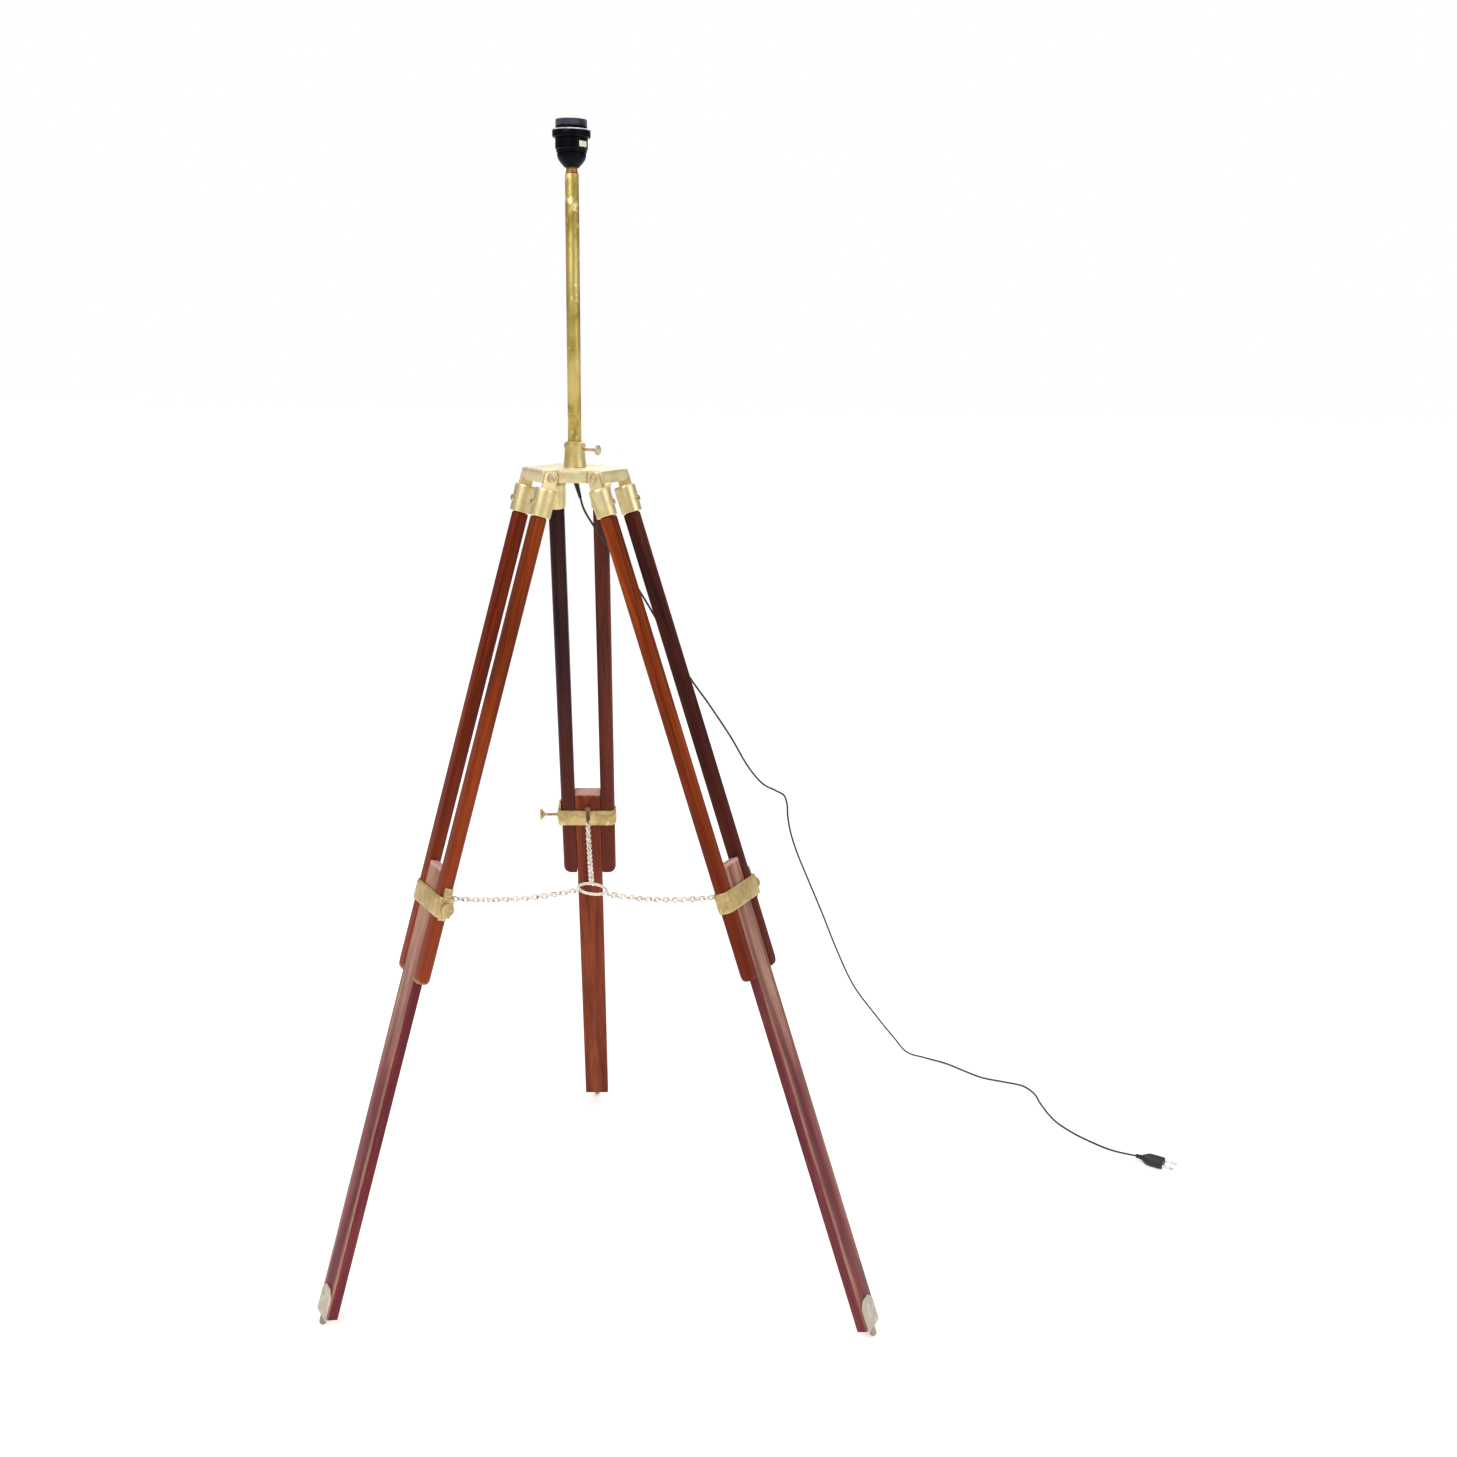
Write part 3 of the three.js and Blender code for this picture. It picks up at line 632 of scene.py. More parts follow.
# ---------- head ----------
def head_outline(amount):
    """The head's plan, with every side moved in by an amount: three knuckles and three short faces."""
    sin60 = math.sqrt(3) / 2
    reach, notch, half, short_face = (side - amount for side in (62.0, 42.0, 32.5, 53.0))
    face_end = (short_face - notch * 0.5) / sin60
    corners = [(notch, -face_end), (notch, -half), (reach, -half), (reach, half), (notch, half),
               (notch, face_end)]
    points = []
    for azimuth in (90, 210, 330):
        a = math.radians(azimuth)
        points += [(r * math.cos(a) - t * math.sin(a), r * math.sin(a) + t * math.cos(a)) for r, t in corners]
    return rounded_corners(points, 2.1)


def build_head():
    levels = [(5.0, 1140), (5.0, 1130.2), (4.4, 1129.6), (0.7, 1129.6), (0.2, 1129.8), (0, 1130.3), (0, 1142),
              (0.3, 1143.6), (1.0, 1144.9), (2.1, 1145.7), (3.2, 1146)]
    plate = Shape().loft([at(head_outline(amount), z) for amount, z in levels])
    sleeve = [(9.2, 1129.6), (14.6, 1129.6), (15.2, 1130.2), (15.5, 1140.2), (9.2, 1140.2)]
    plate.lathe(sleeve, 40, closed=True)
    piece("head_casting", plate, MATERIALS["head"], "head", ON_AXIS, ("head_plate",))


def build_collar():
    """The turned collar that holds the pole, and the thumbscrew through its side."""
    profile = [(9.1, 0.3), (9.4, 0), (14.5, 0), (14.8, 0.4), (14.6, 2), (13.9, 10), (13.3, 18), (13.1, 23.2),
               (13.4, 24), (13.9, 24.7), (14.1, 26), (14.1, 28), (13.8, 29), (13.1, 29.4), (12.9, 29.8),
               (13.3, 30.3), (13.2, 31), (12.5, 31.6), (10.7, 32), (10.4, 32.6), (10, 33), (9.1, 33)]
    collar = Shape().lathe([(r, COLLAR_FOOT + z) for r, z in profile], 64, closed=True)
    piece("collar_turned", collar, MATERIALS["collar"], "head", ON_AXIS, ("pole_collar",))

    screw = Shape()
    screw.lathe([(0, 9.4), (1.7, 9.4), (2, 10), (2, 31.2), (2.6, 31.4), (3.2, 32), (3.4, 33.6), (4.4, 34.2),
                 (6, 34.4), (6.6, 34.9), (6.6, 36.4), (6.1, 37), (3.4, 37.1), (2.6, 37.6), (0, 37.8)], 36)
    on_screw = ON_AXIS @ shift(0, 0, COLLAR_FOOT + 23) @ turn(330, "Z") @ ALONG_X
    piece("collar_thumbscrew_turned", screw, MATERIALS["screw"], "collar_thumbscrew", on_screw,
          ("collar_thumbscrew",))


# ---------- pole and lampholder ----------
def threaded(shape, radius, depth, pitch, low, high, inner):
    """A sleeve with a rolled thread outside, from low to high."""
    sides = 72
    rows = int((high - low) / pitch * 8)
    rings = []
    for row in range(rows + 1):
        z = low + (high - low) * row / rows
        fade = min(1.0, (z - low) / 1.5, (high - z) / 1.5)
        ring = []
        for k in range(sides):
            phase = (z / pitch - k / sides) % 1.0
            wave = 0.5 + 0.5 * math.cos(2 * math.pi * phase)
            r = radius - depth * (1 - wave * fade)
            a = 2 * math.pi * k / sides
            ring.append((r * math.cos(a), r * math.sin(a), z))
        rings.append(ring)
    rings.append(circle(inner, sides, high))
    rings.append(circle(inner, sides, low))
    return shape.loft(rings, closed=True)


def build_pole():
    profile = [(7.8, 1141.6), (8.6, 1141.4), (8.8, 1141.8), (8.8, 1507.4), (8.5, 1507.9), (7.8, 1507.9)]
    tube = Shape().lathe(profile, 48, closed=True)
    piece("pole_tube", tube, MATERIALS["pole"], "pole", ON_AXIS, ("brass_pole",))

    profile = [(3.2, 1496.2), (7.4, 1496.2), (7.4, 1507.6), (5.8, 1507.8), (5.8, 1508.3), (7.6, 1508.4),
               (7.8, 1508.9), (7.6, 1510), (7.1, 1510.8), (7.1, 1518.8), (3.2, 1518.8)]
    neck = Shape().lathe(profile, 40, closed=True)
    piece("pole_neck", neck, MATERIALS["neck"], "pole", ON_AXIS, ("pole_nipple",))


def build_holder():
    """The lampholder's bowl with its ribs, and its body with the threaded skirt."""
    profile = [(7.5, 1515.2), (8.8, 1515.0), (9.4, 1515.5), (13.2, 1519.6), (16.0, 1523.2), (17.1, 1525.2),
               (17.6, 1527.4), (17.8, 1531.4), (17.4, 1532), (15.6, 1532), (15.3, 1526.2), (12.2, 1521.6),
               (7.5, 1518.4)]
    cap = Shape().lathe(profile, 56, closed=True)
    section = [(17.0, -0.55), (18.0, -0.4), (18.0, 0.4), (17.0, 0.55)]
    for rib in range(24):
        cap.loft([at(section, z) for z in (1527.6, 1531.6)], turn(rib * 15, "Z"))
    piece("holder_bowl", cap, MATERIALS["bakelite"], "pole", ON_AXIS, ("holder_cap",))

    profile = [(15.4, 1532.4), (18.7, 1532.4), (19.1, 1532.8), (19.1, 1535.6), (19.6, 1536.2),
               (20.3, 1536.8), (20.3, 1548.9), (19.9, 1549.4), (15.4, 1549.4)]
    body = Shape().lathe(profile, 64, closed=True)
    threaded(body, 19.9, 0.6, 2.5, 1549.4, 1570.9, 15.4)
    piece("holder_shell", body, MATERIALS["skirt"], "pole", ON_AXIS, ("holder_body",))


def build_shade_ring():
    low, high = 1549.9, 1559.9
    profile = [(20.25, low, 0), (22.8, low, 0), (23.5, low + 0.5, 0), (23.8, low + 1.6, 1),
               (23.8, high - 3.4, 1), (23.4, high - 2.4, 0), (24.0, high - 2.1, 0),
               (24.1, high - 1.6, 0), (24.0, high - 1.0, 0), (23.0, high - 0.2, 0),
               (22.4, high, 0), (20.25, high, 0)]
    ring = Shape().loft(ribbed_rings(profile, 144, 0.35, 3, 0), closed=True)
    piece("shade_ring_ribbed", ring, MATERIALS["shade_ring"], "shade_ring", ON_AXIS, ("shade_ring",))


def build_label():
    """The blank label, bent round the lampholder's body."""
    start, end = 302.0, 338.0
    rows = []
    for k in range(9):
        a = math.radians(start + (end - start) * k / 8)
        rows.append([(r * math.cos(a), r * math.sin(a), z)
                     for r, z in ((20.2, 1538.4), (20.42, 1538.4), (20.42, 1545.2), (20.2, 1545.2))])
    piece("blank_label", Shape().loft(rows), MATERIALS["label"], "pole", ON_AXIS, ())


def shell_wave(z):
    """The rolled thread of the socket's metal shell."""
    return 0.175 * (1 - math.cos(2 * math.pi * (z - SHELL_LOW) / SHELL_PITCH))


def build_socket():
    """The screw shell, rolled from sheet, and the looks of the pieces that keep their CAD shape."""
    steps = 40
    rings = []
    for k in range(steps + 1):
        z = SHELL_LOW + SHELL_LENGTH * k / steps
        rings.append(circle(14.2 - shell_wave(z), 48, z))
    for k in range(steps + 1):
        z = SHELL_LOW + SHELL_LENGTH - SHELL_LENGTH * k / steps
        rings.append(circle(13.6 - shell_wave(z), 48, z))
    shell = Shape().loft(rings, closed=True)
    piece("screw_shell_rolled", shell, MATERIALS["ferrule"], "pole", ON_AXIS, ("screw_shell",))
    finish_node("holder_insert", MATERIALS["ceramic"])
    finish_node("centre_contact", MATERIALS["ferrule"])
    finish_node("pole_lead", MATERIALS["rubber"])


# ---------- legs ----------
def stave_ring(amount, z, cut=0.0):
    """A stave's section at height z, inset all round, with its outer side cut back further."""
    outline = rounded_box_outline(STAVE_X - STAVE_WIDTH / 2, STAVE_EDGE - cut, STAVE_THICKNESS, 2.0, 7.5)
    return at(inset(outline, amount), z)


def stave(side):
    """side = 1 for the stave on +X, -1 for its mirror image."""
    foot = -STAVE_FOOT
    levels = [(3.0, foot + 0.05, 6.0), (1.2, foot + 0.5, 4.2), (0.4, foot + 2, 2.4), (0.1, foot + 4.5, 1.0),
              (0, foot + 9, 0)]
    shoulder = -FERRULE_FOOT - 0.6
    levels += [(0, foot + 9 + (shoulder - 2 - foot - 9) * k / 12, 0) for k in range(1, 13)]
    levels += [(0.4, shoulder - 0.8, 0), (1.4, shoulder, 0)]
    shape = Shape().loft([stave_ring(*level) for level in levels])
    tenon = [(0, shoulder - 1), (8.1, shoulder - 1), (8.1, -FERRULE_TOP - 4.4), (0, -FERRULE_TOP - 4.4)]
    shape.lathe(tenon, 32, shift_mm(STAVE_X, 0, 0))
    return mirrored(shape) if side < 0 else shape


def mirrored(shape):
    flipped = Shape()
    flipped.verts = [(-x, y, z) for x, y, z in shape.verts]
    flipped.faces = [tuple(reversed(face)) for face in shape.faces]
    return flipped


def ferrule(side):
    """The turned socket on a stave's upper end, with the flat tongue that the pivot screw goes through."""
    shape = Shape()
    top, foot = -FERRULE_TOP, -FERRULE_FOOT
    profile = [(0, top - 4.2), (8.45, top - 4.2), (8.45, foot + 0.2), (13.0, foot), (13.5, foot + 0.6),
               (14.3, top - 4), (14.2, top - 1.6), (13.7, top - 0.4), (12.8, top), (0, top)]
    shape.lathe(profile, 48, shift_mm(STAVE_X, 0, 0), closed=True)
    half = 9.0
    arc = [math.pi * k / 16 for k in range(17)]
    tongue = [(half, top - 2)] + [(half * math.cos(a), half * math.sin(a)) for a in arc] + [(-half, top - 2)]
    rings = []
    for amount, x in ((0.6, 33.0), (0, 33.5), (0, 36.4), (0.6, 37.0)):
        rings.append([(x, y, z) for y, z in inset(tongue, amount)])
    shape.loft(rings)
    return mirrored(shape) if side < 0 else shape


def ferrule_screw(side):
    shape = Shape()
    place = shift_mm(STAVE_X, 12.4, -35) @ turn(-90, "X") @ turn(25 * side, "Z")
    slotted_head(shape, 4.6, 4.5, place, 1.1, 1.7)
    return mirrored(shape) if side < 0 else shape


def pivot_screw(side):
    shape = Shape()
    place = shift_mm(37.35, 0, 0) @ ALONG_X @ turn(-20, "Z")
    slotted_head(shape, 5.5, 3.5, place, 1.3, 1.4)
    shape.lathe([(0, 25.4), (2.4, 25.4), (2.9, 26.2), (2.9, 37.6), (0, 37.6)], 20, ALONG_X)
    return mirrored(shape) if side < 0 else shape


def slider(bottom):
    half = SLIDER_WIDTH / 2
    outline = rounded_box_outline(-half, half, SLIDER_THICKNESS, 1.0, 1.0, 3)
    low, high = -bottom, -SLIDER_TOP
    levels = [(0.9, low), (0.3, low + 0.4), (0, low + 1.2)]
    levels += [(0, low + 1.2 + (high - low - 2.4) * k / 12) for k in range(1, 12)]
    levels += [(0, high - 5), (0, high - 1.2), (0.3, high - 0.4), (0.9, high)]
    shape = Shape().loft([at(inset(outline, amount), z) for amount, z in levels])
    inner = -SLIDER_THICKNESS / 2 + SLIDER_CHAMFER
    shape.verts = [(x, max(y, inner - (high - z)) if high - z < SLIDER_CHAMFER else y, z)
                   for x, y, z in shape.verts]
    return shape


def clamp_strap():
    """A sheet-brass band, a little crowned, with a threaded boss on the pad's side."""
    rings = []
    half = 14.0
    outer = rounded_box_outline(STRAP_LEFT, STRAP_RIGHT, STAVE_THICKNESS + 0.6, 3.0, 7.5, 6)
    levels = [(0.0, -half), (-1.2, -half + 0.15), (-1.9, -half + 1.1), (-2.15, -half + 4), (-2.2, 0),
              (-2.15, half - 4), (-1.9, half - 1.1), (-1.2, half - 0.15), (0.0, half)]
    for amount, z in levels:
        rings.append(at(inset(outer, amount), z - STRAP_DEPTH))
    shape = Shape().loft(rings, closed=True)
    boss = shift_mm(STRAP_LEFT - 1.8, 0, -STRAP_DEPTH) @ turn(-90, "Y")
    shape.lathe([(0, 0), (5.8, 0), (5.7, 0.9), (5.2, 1.4), (2.9, 1.5), (2.9, 1.2), (0, 1.2)], 32, boss)
    return shape


def clamp_pad():
    outline = rounded_box_outline(-STAVE_EDGE - 3.25, -STAVE_EDGE - 0.35, 12, 1.2, 0.6, 3)
    low, high = -STRAP_DEPTH - PAD_BELOW, -STRAP_DEPTH + PAD_ABOVE
    levels = [(0.8, low), (0.2, low + 0.5), (0, low + 1.5), (0, high - 1.5), (0.2, high - 0.5), (0.8, high)]
    return Shape().loft([at(inset(outline, amount), z) for amount, z in levels])


def clamp_screw(reach):
    """The threaded rod, its hub and a knurled disc, along -X. reach is the rod's length outside the strap."""
    shape = Shape()
    along = shift_mm(STRAP_LEFT, 0, -STRAP_DEPTH) @ turn(-90, "Y")
    hub = reach + 2.2
    rod = [(0, 0)]
    for k in range(int((hub - 1) / 0.65)):
        rod.append((2.5 if k % 2 else 2.05, 0.4 + k * 0.65))
    rod += [(2.3, hub + 0.6), (0, hub + 0.6)]
    shape.lathe(rod, 20, along)
    profile = [(0, hub), (4.6, hub), (5.4, hub + 0.6), (5.4, hub + 2.4), (5.0, hub + 3), (0, hub + 3)]
    shape.lathe(profile, 32, along)
    face = hub + 3
    profile = [(5.0, face - 0.3, 0), (8.0, face, 0), (8.7, face + 0.6, 1), (8.7, face + 2.7, 1),
               (8.2, face + 3.3, 0), (6.6, face + 3.5, 0), (6.2, face + 3.2, 0), (0.01, face + 3.2, 0)]
    shape.loft(ribbed_rings(profile, 72, 0.3, 2, 1), along)
    return shape


def chain_hook():
    """A flat tail behind the strap with its button, and the eye that the chain starts from."""
    back = STRAP_BACK
    shape = Shape()
    outline = rounded_box_outline(-3, 3, 1.8, 0.6, 0.6, 2)
    top, bottom = 21.8 - HOOK_DEPTH, -4.2 - HOOK_DEPTH
    levels = [(0.4, bottom), (0, bottom + 0.8), (0, top - 1.4), (0.4, top)]
    shape.loft([at(inset([(x, y + back - 0.9) for x, y in outline], amount), z) for amount, z in levels])
    button = shift_mm(0, back - 1.6, top - 2.8) @ turn(90, "X")
    shape.lathe([(0, 0), (4.2, 0), (4.5, 0.5), (4.2, 1.3), (3.0, 2.0), (1.4, 2.3), (0, 2.4)], 28, button)
    angles = [2 * math.pi * k / 28 for k in range(28)]
    loop = [(0, back - 6.2 + 4.2 * math.cos(a), -HOOK_DEPTH + 4.2 * math.sin(a)) for a in angles]
    sweep(shape, loop, 1.3, 10)
    return shape


def foot_shoe(bottom):
    """A bent plate over the outer face with clipped upper corners, and its tab under the end grain."""
    half, height, corner = 17.0, 42.0, 9.0
    outline = [(-half, 0), (half, 0), (half, height - corner), (half - corner, height),
               (-half + corner, height), (-half, height - corner)]
    outline = rounded_corners(outline, 1.2, 3)
    base = -bottom - 1.9
    rings = []
    face = SLIDER_THICKNESS / 2
    for amount, y in ((0.5, face + 2.1), (0, face + 1.7), (0, face + 0.4), (0.3, face + 0.3)):
        rings.append([(x, y, base + z) for x, z in inset(outline, amount)])
    shape = Shape().loft(rings)
    tab = rounded_box_outline(-10.2, 10.2, 11.4, 0.8, 0.8, 2)
    shape.loft([at([(x, y + 3.8) for x, y in tab], z) for z in (base, base + 1.6)])
    for x in (-8, 8):
        head = shift_mm(x, face + 2.0, base + 27) @ turn(-90, "X")
        shape.lathe([(0, 0), (2.6, 0), (2.4, 0.6), (1.4, 1.0), (0, 1.1)], 20, head)
    return shape


def foot_peg(bottom):
    end = -bottom - PEG_LENGTH
    centre = end + PEG_RADIUS
    profile = [(PEG_RADIUS * math.sin(a), centre - PEG_RADIUS * math.cos(a))
               for a in [math.pi / 2 * k / 8 for k in range(9)]]
    profile += [(PEG_RADIUS, -bottom - 5), (PEG_RADIUS - 0.4, -bottom - 4.6), (PEG_RADIUS, -bottom - 4.2),
                (PEG_RADIUS, -bottom - 2.3), (0, -bottom - 2.3)]
    return Shape().lathe(profile, 32, shift_mm(0, PEG_OFFSET, 0))


def slider_end(leg):
    """How far down the leg its slider reaches, so that the peg's round tip meets the floor."""
    lean = math.radians(LEGS[leg]["spread"])
    tip = (HINGE_HEIGHT + PEG_OFFSET * math.sin(lean) - PEG_RADIUS) / math.cos(lean)
    return tip + PEG_RADIUS - PEG_LENGTH


def build_staves(leg, woods):
    place = leg_frame(leg)
    for side, word in ((1, "right"), (-1, "left")):
        piece(f"{leg}_stave_{word}_turned", stave(side), woods[word], leg, place,
              (f"{leg}_stave_{word}",))
        piece(f"{leg}_ferrule_{word}_turned", ferrule(side), MATERIALS["ferrule"], leg, place,
              (f"{leg}_ferrule_{word}",))
        piece(f"{leg}_ferrule_screw_{word}", ferrule_screw(side), MATERIALS["screw"], leg, place,
              ())
        piece(f"{leg}_pivot_{word}_slotted", pivot_screw(side), MATERIALS["screw"], "head",
              hinge_frame(leg), (f"{leg}_pivot_screw_{word}",))


def build_lower_leg(leg, wood_of_slider):
    place = leg_frame(leg)
    end = slider_end(leg)
    body = f"{leg}_slider"
    piece(f"{leg}_slider_planed", slider(end), wood_of_slider, body, place,
          (f"{leg}_slider",))
    piece(f"{leg}_shoe_bent", foot_shoe(end), MATERIALS["foot"], body, place,
          (f"{leg}_foot_shoe",))
    piece(f"{leg}_peg_turned", foot_peg(end), MATERIALS["peg"], body, place,
          (f"{leg}_foot_peg",))


def build_clamp(leg):
    place = leg_frame(leg)
    screw = clamp_screw(LEGS[leg]["screw_reach"])
    piece(f"{leg}_strap_band", clamp_strap(), MATERIALS["strap"], leg, place,
          (f"{leg}_clamp_strap",))
    piece(f"{leg}_pad_plate", clamp_pad(), MATERIALS["pad"], leg, place,
          (f"{leg}_clamp_pad",))
    piece(f"{leg}_clamp_screw_knurled", screw, MATERIALS["pad"], f"{leg}_clamp_screw", place,
          (f"{leg}_clamp_screw",))
    piece(f"{leg}_hook_bent", chain_hook(), MATERIALS["hook"], leg, place,
          (f"{leg}_chain_hook",))


# ---------- spreader ----------
def ring_frame():
    return ON_AXIS @ shift(*RING_CENTRE) @ turn(RING_TILT, "Y")


def build_ring():
    wire = sweep(Shape(), circle(RING_RADIUS, 72), 2.0, 14)
    piece("spreader_ring_wire", wire, MATERIALS["nickel"], "spreader_ring", ring_frame(),
          ("spreader_ring",))


def oval_link(length, width, wire, place):
    """The centreline of one link: an oval with straight sides."""
    half = (length - width) / 2
    turn_radius = (width - wire) / 2
    path = []
    for start, x in ((-90, half), (90, -half)):
        for k in range(9):
            a = math.radians(start + 22.5 * k)
            path.append(place @ Vector((x + turn_radius * math.cos(a), turn_radius * math.sin(a), 0)))
    return path


def build_chain(leg, rng):
    """Links from the hook's eye to the ring, along a shallow sag, each rocked the other way from the last."""
    eye = leg_frame(leg) @ (EYE * MM) / MM
    centre = ON_AXIS @ (RING_CENTRE * MM) / MM
    tilt = turn(RING_TILT, "Y")
    flat = tilt.inverted() @ (eye - centre)
    flat.z = 0
    wire = centre + tilt @ (flat.normalized() * RING_RADIUS)
    chord = (wire - eye).length
    count = round(chord * CHAIN_SLACK / LINK_PITCH)
    shape = Shape()

    def on_sag(t):
        point = eye.lerp(wire, t)
        point.z -= 4 * CHAIN_SAG * t * (1 - t)
        return point

    for i in range(count):
        t = (i + 0.5) / count
        middle = on_sag(t)
        ahead = (on_sag(min(1, t + 0.02)) - on_sag(max(0, t - 0.02))).normalized()
        rock = (42 if i % 2 else -42) + rng.uniform(-9, 9)
        basis = ahead.to_track_quat("X", "Z").to_matrix().to_4x4()
        place = Matrix.Translation(middle) @ basis @ turn(rock, "X")
        link = oval_link(chord / count + LINK_OVERLAP, LINK_WIDTH, LINK_WIRE, place)
        sweep(shape, link, LINK_WIRE / 2, 8)
    piece(f"{leg}_chain_links", shape, MATERIALS["chain"], f"{leg}_chain", Matrix(),
          (f"{leg}_chain",), sharp=60.0)


# ---------- lead and plug ----------
def catmull(points, steps):
    """A smooth line through the points, evenly eased between uneven gaps."""
    points = [Vector(p) for p in points]
    ends = [points[0] * 2 - points[1]] + points + [points[-1] * 2 - points[-2]]
    line = []
    for i in range(1, len(ends) - 2):
        p0, p1, p2, p3 = ends[i - 1:i + 3]
        gaps = [max((b - a).length, 1e-6) ** 0.5 for a, b in ((p0, p1), (p1, p2), (p2, p3))]
        m1 = (p2 - p1) + gaps[1] * ((p1 - p0) / gaps[0] - (p2 - p0) / (gaps[0] + gaps[1]))
        m2 = (p2 - p1) + gaps[1] * ((p3 - p2) / gaps[2] - (p3 - p1) / (gaps[1] + gaps[2]))
        for k in range(steps):
            t = k / steps
            line.append(p1 * (2 * t**3 - 3 * t**2 + 1) + m1 * (t**3 - 2 * t**2 + t)
                        + p2 * (3 * t**2 - 2 * t**3) + m2 * (t**3 - t**2))
    line.append(points[-1])
    return line


def build_strain_relief():
    relief = Shape().lathe([(0, 1128.7), (8.5, 1128.7), (8.5, 1140.9), (0, 1140.9)], 40)
    tail = shift_mm(0, 0, 1129.8) @ turn(23, "Z") @ turn(-16, "Y")
    profile = [(0, 0.5), (3.8, 0)]
    for k in range(8):
        radius = 3.8 - 0.18 * k
        profile += [(radius, -2.2 - 2.8 * k), (radius - 0.6, -2.5 - 2.8 * k), (radius - 0.6, -3.6 - 2.8 * k),
                    (radius - 0.18, -3.9 - 2.8 * k)]
    profile += [(2.2, -24.9), (0, -25)]
    relief.lathe(list(reversed(profile)), 28, tail)
    piece("strain_relief_ribbed", relief, MATERIALS["rubber"], "head", ON_AXIS, ("cord_bush",))


def lead_curve(line):
    """The lead as a round curve along a line of points, measured from the foot of the pole's axis."""
    data = bpy.data.curves.new("lead_curve", "CURVE")
    data.dimensions = "3D"
    data.bevel_depth = CORD_DIAMETER / 2 * MM
    data.bevel_resolution = 4
    data.use_fill_caps = True
    spline = data.splines.new("POLY")
    spline.points.add(len(line) - 1)
    for point, place in zip(spline.points, line):
        point.co = (*((place + POLE_AXIS) * MM), 1.0)
    data.materials.append(MATERIALS["rubber"])
    lead = bpy.data.objects.new("mains_lead", data)
    bpy.context.scene.collection.objects.link(lead)
    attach(lead, "head")
    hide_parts("mains_cord")
    return lead


def build_plug(place):
    """The plug's body and its two pins."""
    pieces = [piece("plug_moulded", plug_body(), MATERIALS["rubber"], "head", place, ("plug_body",))]
    profile = [(0, 46.4), (2, 46.4), (2, 63.4), (1.7, 64.6), (0.9, 65.2), (0, 65.3)]
    for word, side in (("left", 1), ("right", -1)):
        pin = Shape().lathe(profile, 24, shift_mm(0, side * 9.3, 0) @ ALONG_X)
        pieces.append(piece(f"plug_pin_{word}_turned", pin, MATERIALS["nickel"], "head", place,
                            (f"plug_pin_{word}",)))
    return pieces


def build_lead():
    build_strain_relief()
    last, before = Vector(CORD_ROUTE[-1]), Vector(CORD_ROUTE[-2])
    line = catmull(CORD_ROUTE, 6)
    line.append(last + (last - before).normalized() * CORD_IN_PLUG)
    lead = lead_curve(line)
    heading = math.degrees(math.atan2(last.y - before.y, last.x - before.x))
    plug = build_plug(ON_AXIS @ shift(last.x, last.y, PLUG_LIFT) @ turn(heading, "Z"))


def plug_body():
    """A flat moulded plug: a ribbed neck that widens into a rounded body, along X."""
    stations = [(0.4, 3.2, 3.2), (4, 3.6, 3.6), (4.6, 3.0, 3.0), (6, 3.0, 3.0), (6.6, 4.2, 4.0),
                (8, 4.4, 4.2), (8.6, 3.6, 3.6), (10, 3.7, 3.7), (10.6, 5, 4.6), (13, 6.2, 5.4),
                (17, 10.4, 6.3), (21, 13.0, 6.75), (27, 13.5, 6.8), (41, 13.5, 6.8), (44.6, 13.2, 6.6),
                (45.7, 12.4, 6.0), (46, 11.4, 5.2)]
    rings = []
    for x, half_width, half_height in stations:
        corner = min(half_width, half_height) * 0.92
        outline = rounded_box_outline(-half_width, half_width, half_height * 2, corner, corner, 5)
        rings.append([(x, y, z) for y, z in outline])
    return Shape().loft(rings)


# ---------- stage ----------
HORIZON_LIGHT = 0.22
ZENITH_LIGHT = 1.0
SKY_STRENGTH = 0.95
FLOOR_GLOW = 0.48
LIGHTS = (  # name, place, size, power, colour
    ("key", (-1.6, -2.6, 3.4), 2.2, 62.0, (1.0, 0.98, 0.95)),
    ("fill", (2.8, -1.8, 2.2), 2.4, 26.0, (0.97, 0.98, 1.0)),
    ("back", (0.6, 2.6, 3.2), 2.0, 30.0, (1.0, 1.0, 1.0)),
)


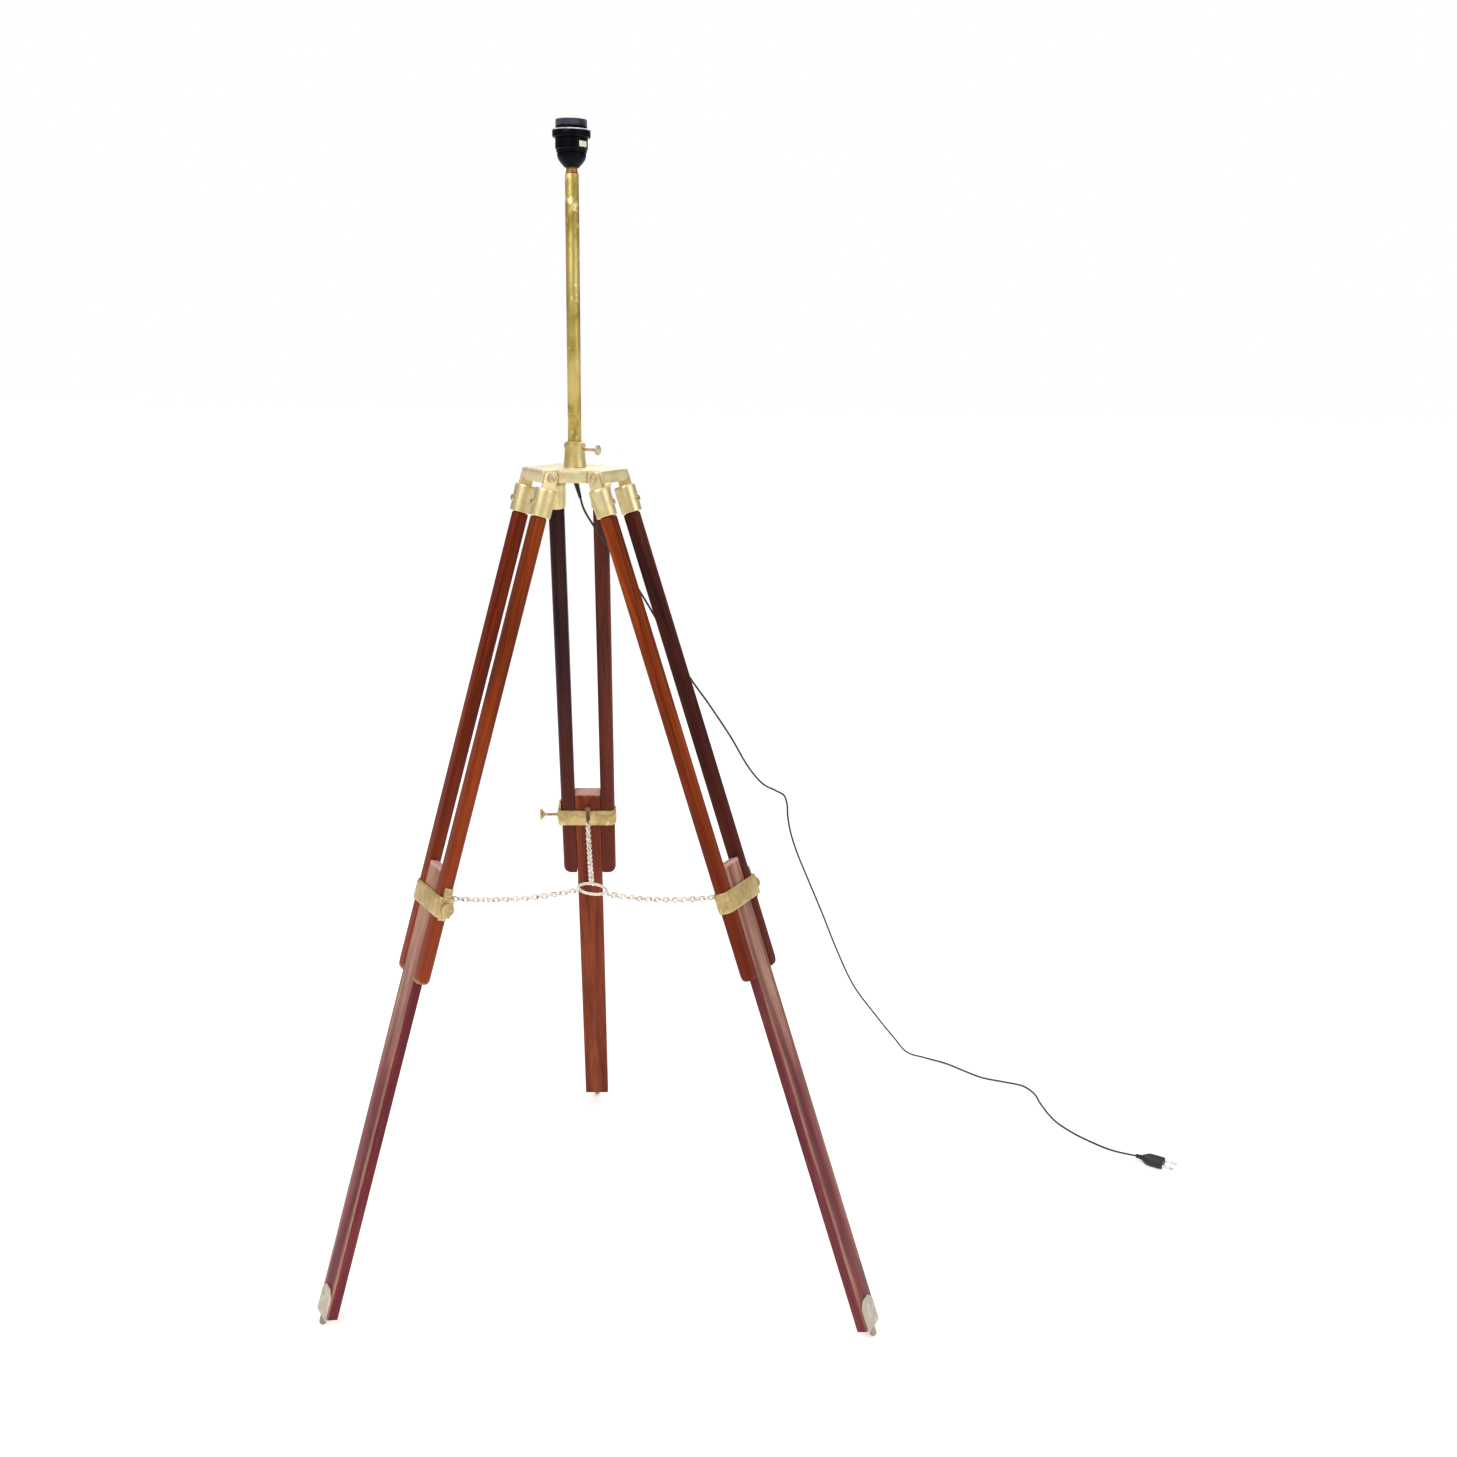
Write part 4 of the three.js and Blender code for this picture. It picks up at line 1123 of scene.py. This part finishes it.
def build_world():
    """White to the camera; the light comes mostly from above and less from the horizon."""
    world = bpy.data.worlds.new("studio")
    world.use_nodes = True
    tree = world.node_tree
    sky = tree.nodes["Background"]
    place = tree.nodes.new("ShaderNodeTexCoord")
    split = tree.nodes.new("ShaderNodeSeparateXYZ")
    tree.links.new(place.outputs["Generated"], split.inputs[0])
    ramp = tree.nodes.new("ShaderNodeValToRGB")
    tree.links.new(split.outputs["Z"], ramp.inputs["Fac"])
    stops = [(0.0, HORIZON_LIGHT), (0.35, HORIZON_LIGHT * 1.5), (0.8, ZENITH_LIGHT)]
    while len(ramp.color_ramp.elements) < len(stops):
        ramp.color_ramp.elements.new(0.5)
    for element, (position, level) in zip(ramp.color_ramp.elements, stops):
        element.position = position
        element.color = (level, level, level, 1.0)
    tree.links.new(ramp.outputs["Color"], sky.inputs["Color"])
    sky.inputs["Strength"].default_value = SKY_STRENGTH
    seen = tree.nodes.new("ShaderNodeBackground")
    seen.inputs["Color"].default_value = (1.0, 1.0, 1.0, 1.0)
    path = tree.nodes.new("ShaderNodeLightPath")
    choice = tree.nodes.new("ShaderNodeMixShader")
    tree.links.new(path.outputs["Is Camera Ray"], choice.inputs["Fac"])
    tree.links.new(sky.outputs[0], choice.inputs[1])
    tree.links.new(seen.outputs[0], choice.inputs[2])
    tree.links.new(choice.outputs[0], tree.nodes["World Output"].inputs["Surface"])
    bpy.context.scene.world = world


def build_floor():
    """A pale floor that glows a little, so that its far part stays white."""
    mesh = bpy.data.meshes.new("floor")
    reach = 30.0
    mesh.from_pydata([(-reach, -reach, 0), (reach, -reach, 0), (reach, reach, 0), (-reach, reach, 0)], [],
                     [(0, 1, 2, 3)])
    pale = plain("pale_floor", (0.72, 0.72, 0.72), (0.75, 0.75, 0.75), 0.8, 1.2, 0.0)
    glow = pale.node_tree.nodes["Principled BSDF"].inputs
    glow["Emission Color"].default_value = (1.0, 1.0, 1.0, 1.0)
    glow["Emission Strength"].default_value = FLOOR_GLOW
    mesh.materials.append(pale)
    floor = bpy.data.objects.new("floor", mesh)
    bpy.context.scene.collection.objects.link(floor)


def build_lights():
    aim = Vector((0, 0, 0.8))
    for name, place, size, power, tint in LIGHTS:
        data = bpy.data.lights.new(name, "AREA")
        data.size = size
        data.energy = power
        data.color = tint
        light = bpy.data.objects.new(name, data)
        bpy.context.scene.collection.objects.link(light)
        light.location = place
        light.rotation_euler = (aim - Vector(place)).to_track_quat("-Z", "Y").to_euler()


# ---------- assembly ----------
add_camera()
build_lead()
build_head()
build_collar()
build_pole()
build_holder()
build_shade_ring()
build_label()
build_socket()
rng = random.Random(7)
for number, leg_name in enumerate(LEGS):
    leg_wood = leg_woods(leg_name, (0.37 * number + 0.1, 0.21 * number, 0.9 * number))
    build_staves(leg_name, leg_wood)
    build_lower_leg(leg_name, leg_wood["slider"])
    build_clamp(leg_name)
    build_chain(leg_name, rng)
build_ring()
build_world()
build_floor()
build_lights()
bpy.context.scene.view_settings.view_transform = "Standard"

bpy.context.view_layer.update()
